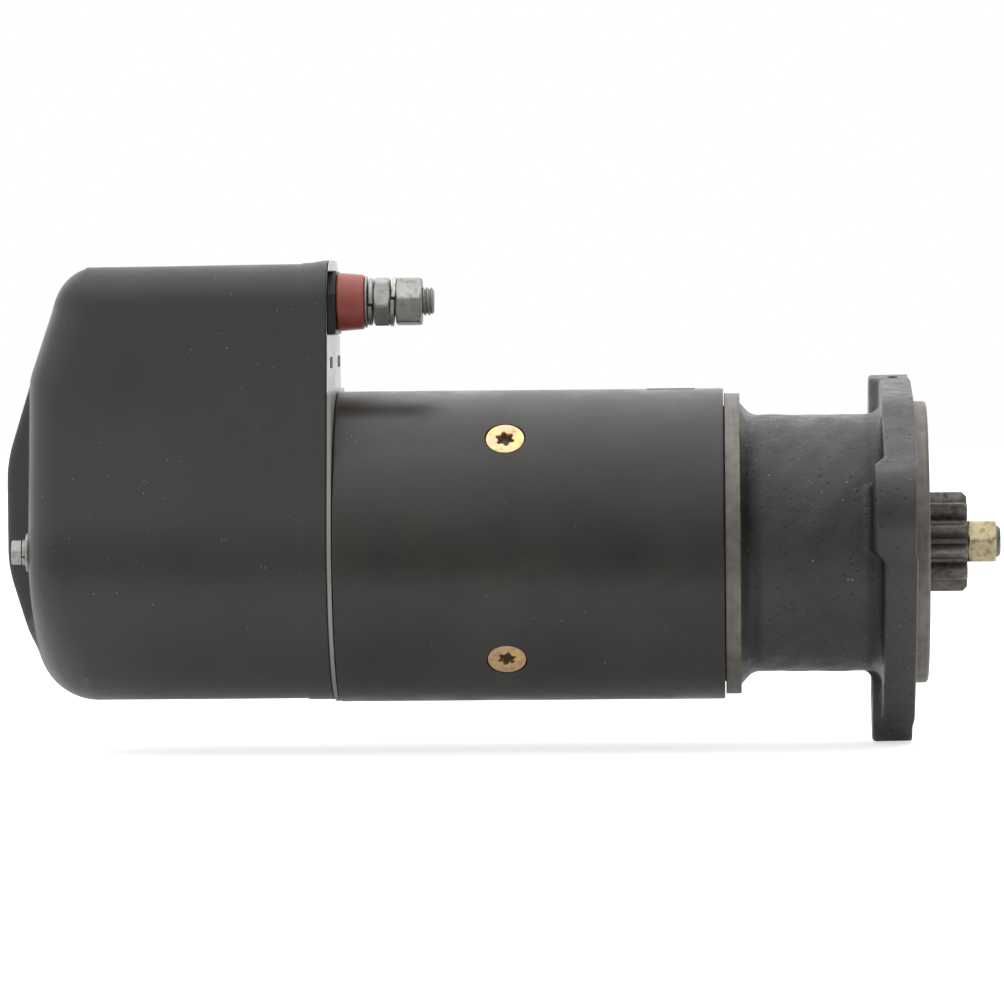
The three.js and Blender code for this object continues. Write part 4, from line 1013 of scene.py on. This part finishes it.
nose = makePiece("driveEndCasting", [sheet(neckRows(housingSkin()), wrapRows=True)],
                 castIron, ["drive_end_housing"], sharp=38)
holes = []
for degrees in housing["lugAngles"]:
    hole = housing["lugHole"]
    points, quads = bar([[-30, 0, 0], [-30, hole, 0], [10, hole, 0], [10, 0, 0]], 64, 1)
    holes.append((spun(moved(points, y=housing["lugCircle"]), degrees), quads))
# a small hole in the far ear's edge
dowel = {"radius": 2.3, "from": 66, "to": 92, "x": -7.4, "angle": 61}
dowelSheet = bar([[dowel["from"], 0, 0], [dowel["from"], dowel["radius"], 0],
                  [dowel["to"], dowel["radius"], 0], [dowel["to"], 0, 0]], 40, 1)
holes.append(outwards(dowelSheet, dowel["x"], dowel["angle"]))
drill(nose, holes, 38)
print("drive end housing done")


pinionLow, pinionHigh = span("pinion")
gear = {"teeth": 11, "module": 3.0, "shift": 0.47, "pressure": math.radians(20), "turn": -2.6,
        "rear": pinionLow[0], "front": pinionHigh[0], "bore": 9.3, "chamfer": 1.9}


def involute(angle):
    return np.tan(angle) - angle


def toothHalf(r):
    # Half a tooth's angle at radius r: its half thickness at the pitch circle less the involute's turn.
    pitch = gear["teeth"] * gear["module"] / 2
    base = pitch * math.cos(gear["pressure"])
    thick = gear["module"] * (math.pi / 2 + 2 * gear["shift"] * math.tan(gear["pressure"]))
    here = np.arccos(np.minimum(1, base / r))
    return thick / (2 * pitch) + involute(gear["pressure"]) - involute(here)


def pinionSheet():
    # The tooth outline, root fillet and involute flank, carried along x; a cone at each end trims the tips.
    pitch = gear["teeth"] * gear["module"] / 2
    tip = pitch + gear["module"] * (1 + gear["shift"])
    root = pitch - gear["module"] * (1.25 - gear["shift"])
    base = pitch * math.cos(gear["pressure"])
    flank = np.linspace(base, tip - 0.25, 12)
    swing = np.linspace(0, 1, 5)
    fillet = root + (base - root) * (1 - np.cos(swing * math.pi / 2))
    filletHalf = toothHalf(base) + 0.05 * (1 - np.sin(swing * math.pi / 2))
    tipHalf = toothHalf(tip)
    r = np.concatenate([fillet, flank[1:], [tip - 0.06, tip, tip]])
    tipHalves = [toothHalf(tip - 0.1), tipHalf - 0.008, tipHalf * 0.5]
    half = np.concatenate([filletHalf, toothHalf(flank[1:]), tipHalves])
    sideR, sideA = np.concatenate([r, r[::-1]]), np.concatenate([-half, half[::-1]])
    angle = (np.arange(gear["teeth"])[:, None] * tau / gear["teeth"] + sideA[None]).ravel()
    reach = np.tile(sideR, gear["teeth"])
    inset = np.array([0, 0.15, 0.4, 0.8, 1.2, 1.6, 2.0, 2.6])
    x = np.concatenate([gear["rear"] + inset, gear["front"] - inset[::-1]])[:, None]
    rearCone = tip - 0.5 + (x - gear["rear"]) * 1.5
    frontCone = tip - gear["chamfer"] + (gear["front"] - x) * 1.0
    rows = softMin(softMin(reach[None] + 0 * x, rearCone, 0.2), frontCone, 0.25)
    low = root - 0.4
    rings = [(gear["front"], low), (gear["front"], gear["bore"] + 0.7), (gear["front"] - 0.7, gear["bore"]),
             (gear["rear"] + 0.7, gear["bore"]), (gear["rear"], gear["bore"] + 0.7), (gear["rear"], low)]
    path = np.concatenate([np.stack([np.broadcast_to(x, rows.shape), rows], -1),
                           np.array(rings)[:, None] * np.ones((1, len(angle), 1))])
    points = np.stack([path[..., 0], path[..., 1] * np.cos(angle), path[..., 1] * np.sin(angle)], -1)
    return sheet(spun(points, gear["turn"]), wrapRows=True)


makePiece("pinionGear", [pinionSheet()], pinionSteel, ["pinion"], sharp=40)
nutLow, nutHigh = span("pinion_nut")
makePiece("pinionNut", [hexagonNut(nutLow[0], nutHigh[0], 17.0, 6.9, 12.0)], paleGoldPlate, ["pinion_nut"])
spindleLow, spindleHigh = span("drive_spindle")
spindle = {"hub": 31.5, "hubFront": -70.0, "radius": 12.0, "seat": 9.0, "thread": 6.6}
makePiece("driveSpindle", [bar([
    [spindleLow[0], 0, 0], [spindleLow[0], spindle["hub"], 0.8], [spindle["hubFront"], spindle["hub"], 0.8],
    [spindle["hubFront"], 16, 0.4], [spindle["hubFront"] + 1.5, spindle["radius"], 0.4],
    [gear["rear"] - 0.3, spindle["radius"], 0.5], [gear["rear"] - 0.3, spindle["seat"], 0.1],
    [gear["front"], spindle["seat"], 0.2], [gear["front"], spindle["thread"], 0.1],
    [spindleHigh[0] - 1.1, spindle["thread"], 0.2], [spindleHigh[0], spindle["thread"] - 1.1, 0.3],
    [spindleHigh[0], 2.2, 0.1], [spindleHigh[0] - 2.0, 0, 0]], 128)], oiledSteel, ["drive_spindle"])

sealLow, sealHigh = span("shaft_seal")
makePiece("shaftSeal", [ring([
    [sealLow[0], 12.6, 0.3], [sealLow[0], sealHigh[2], 0.5],
    [sealHigh[0], sealHigh[2], 0.5], [sealHigh[0], 15.5, 0.6],
    [sealHigh[0] - 2.2, 14.2, 0.8], [sealHigh[0] - 0.6, 12.3, 0.3]], 128)], sealRubber, ["shaft_seal"])
bearingLow, bearingHigh = span("drive_end_bearing")
makePiece("driveEndBush", [tube(bearingLow[0], bearingHigh[0], bearingHigh[2], 12.3, 0.5)],
          bronze, ["drive_end_bearing"])


def coil(rear, front, radius, wireRadius, turns):
    # A round wire along a helix whose climb eases off at both ends, so that the end turns lie closed.
    steps = int(turns * 40)
    share = np.linspace(0, 1, steps)
    turn = share * turns * tau
    climb = rear + wireRadius + (front - rear - 2 * wireRadius) * (0.82 * share + 0.18 * ease(share))
    out = np.stack([np.zeros(steps), np.cos(turn), np.sin(turn)], -1)
    along = np.tile([1.0, 0.0, 0.0], (steps, 1))
    middle = out * radius + along * climb[:, None]
    loop = np.arange(12) * tau / 12
    c, s = np.cos(loop)[None, :, None], np.sin(loop)[None, :, None]
    rows = middle[:, None] + wireRadius * (c * out[:, None] + s * along[:, None])
    ends = [np.repeat(middle[k][None, None], 12, 1) for k in (0, -1)]
    return sheet(np.concatenate([ends[0], rows, ends[1]]))


coilLow, coilHigh = span("return_spring")
spring = makePiece("returnSpringCoil", [coil(coilLow[0], coilHigh[0], 7.6, 0.9, 8)],
                   oiledSteel, ["return_spring"])
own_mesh(spring)
print("drive done")


# The sealed inner pieces keep their CAD shape and get their own materials.
slotMaterials = {
    "painted_cast_iron": castIron, "frame_paint": framePaint, "cover_paint": coverPaint,
    "cast_aluminium": castAluminium, "clear_zinc": zincPlate, "yellow_zinc": goldPlate,
    "oiled_steel": oiledSteel, "pinion_steel": pinionSteel, "laminations": steelSheets,
    "copper": copperWire, "bearing_bronze": bronze, "carbon": carbon,
    "red_plastic": redPlastic, "black_plastic": blackPlastic, "seal_rubber": sealRubber, "label": labelFoil,
}
for node, cadObject in frame["nodes"].items():
    if not cadObject.hide_render:
        cadObject.data.materials.clear()
        cadObject.data.materials.append(slotMaterials[slotOf[node]])

camera = {"distance": 3000.0, "azimuth": 1.775, "elevation": 1.646, "roll": -0.5315, "lens": 256.7,
          "target": (-172.085, 0.0, 18.142)}


def placeCamera():
    az, el, roll = [math.radians(camera[key]) for key in ("azimuth", "elevation", "roll")]
    back = Vector((math.sin(az) * math.cos(el), -math.cos(az) * math.cos(el), math.sin(el)))
    right = (-back).cross(Vector((0, 0, 1))).normalized()
    above = right.cross(-back)
    across = right * math.cos(roll) + above * math.sin(roll)
    above = above * math.cos(roll) - right * math.sin(roll)
    data = bpy.data.cameras.new("camera")
    data.lens, data.sensor_width = camera["lens"], 36
    data.clip_end = 20
    holder = bpy.data.objects.new("camera", data)
    bpy.context.scene.collection.objects.link(holder)
    place = Vector(camera["target"]) * mm + back * camera["distance"] * mm
    holder.matrix_world = Matrix.Translation(place) @ Matrix((across, above, back)).transposed().to_4x4()
    bpy.context.scene.camera = holder


def areaLight(name, power, size, place, aim):
    data = bpy.data.lights.new(name, "AREA")
    data.energy, data.shape = power, "RECTANGLE"
    data.size, data.size_y = size
    lamp = bpy.data.objects.new(name, data)
    lamp.location = place
    lamp.rotation_euler = (Vector(aim) - Vector(place)).to_track_quat("-Z", "Y").to_euler()
    bpy.context.scene.collection.objects.link(lamp)


studio = {"front": 0.44, "top": 1.40, "behind": 1.5, "left": 1.0, "right": 0.45,
          "floorNear": 0.85, "floorFar": 0.25, "glow": 0.10}


def makeStudio():
    # A white tent: bright above and behind, dimmer in front, over a white floor.
    world = bpy.data.worlds.new("tent")
    bpy.context.scene.world = world
    world.use_nodes = True
    tree = world.node_tree
    tree.nodes.clear()
    way = wire(tree, "SeparateXYZ", {0: wire(tree, "TexCoord").outputs["Generated"]}).outputs
    front = ramp(tree, way[2], 0.0, 1.0, studio["front"], studio["top"])
    behind = ramp(tree, way[1], -0.2, 0.6, 0.0, studio["behind"])
    left = ramp(tree, way[0], -0.25, -0.95, 0.0, studio["left"])
    level = maths(tree, "MAXIMUM", maths(tree, "MAXIMUM", front, behind), left)
    level = maths(tree, "MULTIPLY", level, ramp(tree, way[0], 0.2, 0.9, 1.0, studio["right"]))
    seen = wire(tree, "LightPath").outputs["Is Camera Ray"]
    level = wire(tree, "Mix", {0: seen, 2: level, 3: 1.0}).outputs[0]
    glow = wire(tree, "Background", {"Color": (1, 1, 1, 1), "Strength": level})
    wire(tree, "OutputWorld", {"Surface": glow.outputs[0]})

    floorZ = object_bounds()[0].z - 0.0004
    mesh = bpy.data.meshes.new("floor")
    mesh.from_pydata([(-6, -6, floorZ), (6, -6, floorZ), (6, 6, floorZ), (-6, 6, floorZ)], [], [(0, 1, 2, 3)])
    floor = bpy.data.objects.new("floor", mesh)
    bpy.context.scene.collection.objects.link(floor)
    material = bpy.data.materials.new("floorWhite")
    material.use_nodes = True
    tree = material.node_tree
    tree.nodes.clear()
    white = wire(tree, "BsdfDiffuse", {"Color": (0.8, 0.8, 0.8, 1)}).outputs[0]
    lift = wire(tree, "Emission", {"Color": (1, 1, 1, 1), "Strength": 0.62}).outputs[0]
    seenFloor = wire(tree, "AddShader", {0: white, 1: lift}).outputs[0]
    place = wire(tree, "SeparateXYZ", {0: wire(tree, "TexCoord").outputs["Object"]}).outputs
    share = ramp(tree, place[1], -0.32, -0.16)
    near, far = [(studio[key],) * 3 + (1,) for key in ("floorNear", "floorFar")]
    dim = wire(tree, "BsdfDiffuse", {"Color": mixed(tree, share, far, near)}).outputs[0]
    glow = wire(tree, "Emission", {"Strength": maths(tree, "MULTIPLY", share, studio["glow"])}).outputs[0]
    dim = wire(tree, "AddShader", {0: dim, 1: glow}).outputs[0]
    seen = wire(tree, "LightPath").outputs["Is Camera Ray"]
    surface = wire(tree, "MixShader", {0: seen, 1: dim, 2: seenFloor}).outputs[0]
    wire(tree, "OutputMaterial", {"Surface": surface})
    mesh.materials.append(material)


placeCamera()
makeStudio()
middle = (-0.17, 0.0, 0.02)
areaLight("overhead", 2.5, (1.6, 1.2), (-0.3, 0.1, 1.4), middle)
bpy.context.scene.view_settings.view_transform = "Standard"
print("studio done")
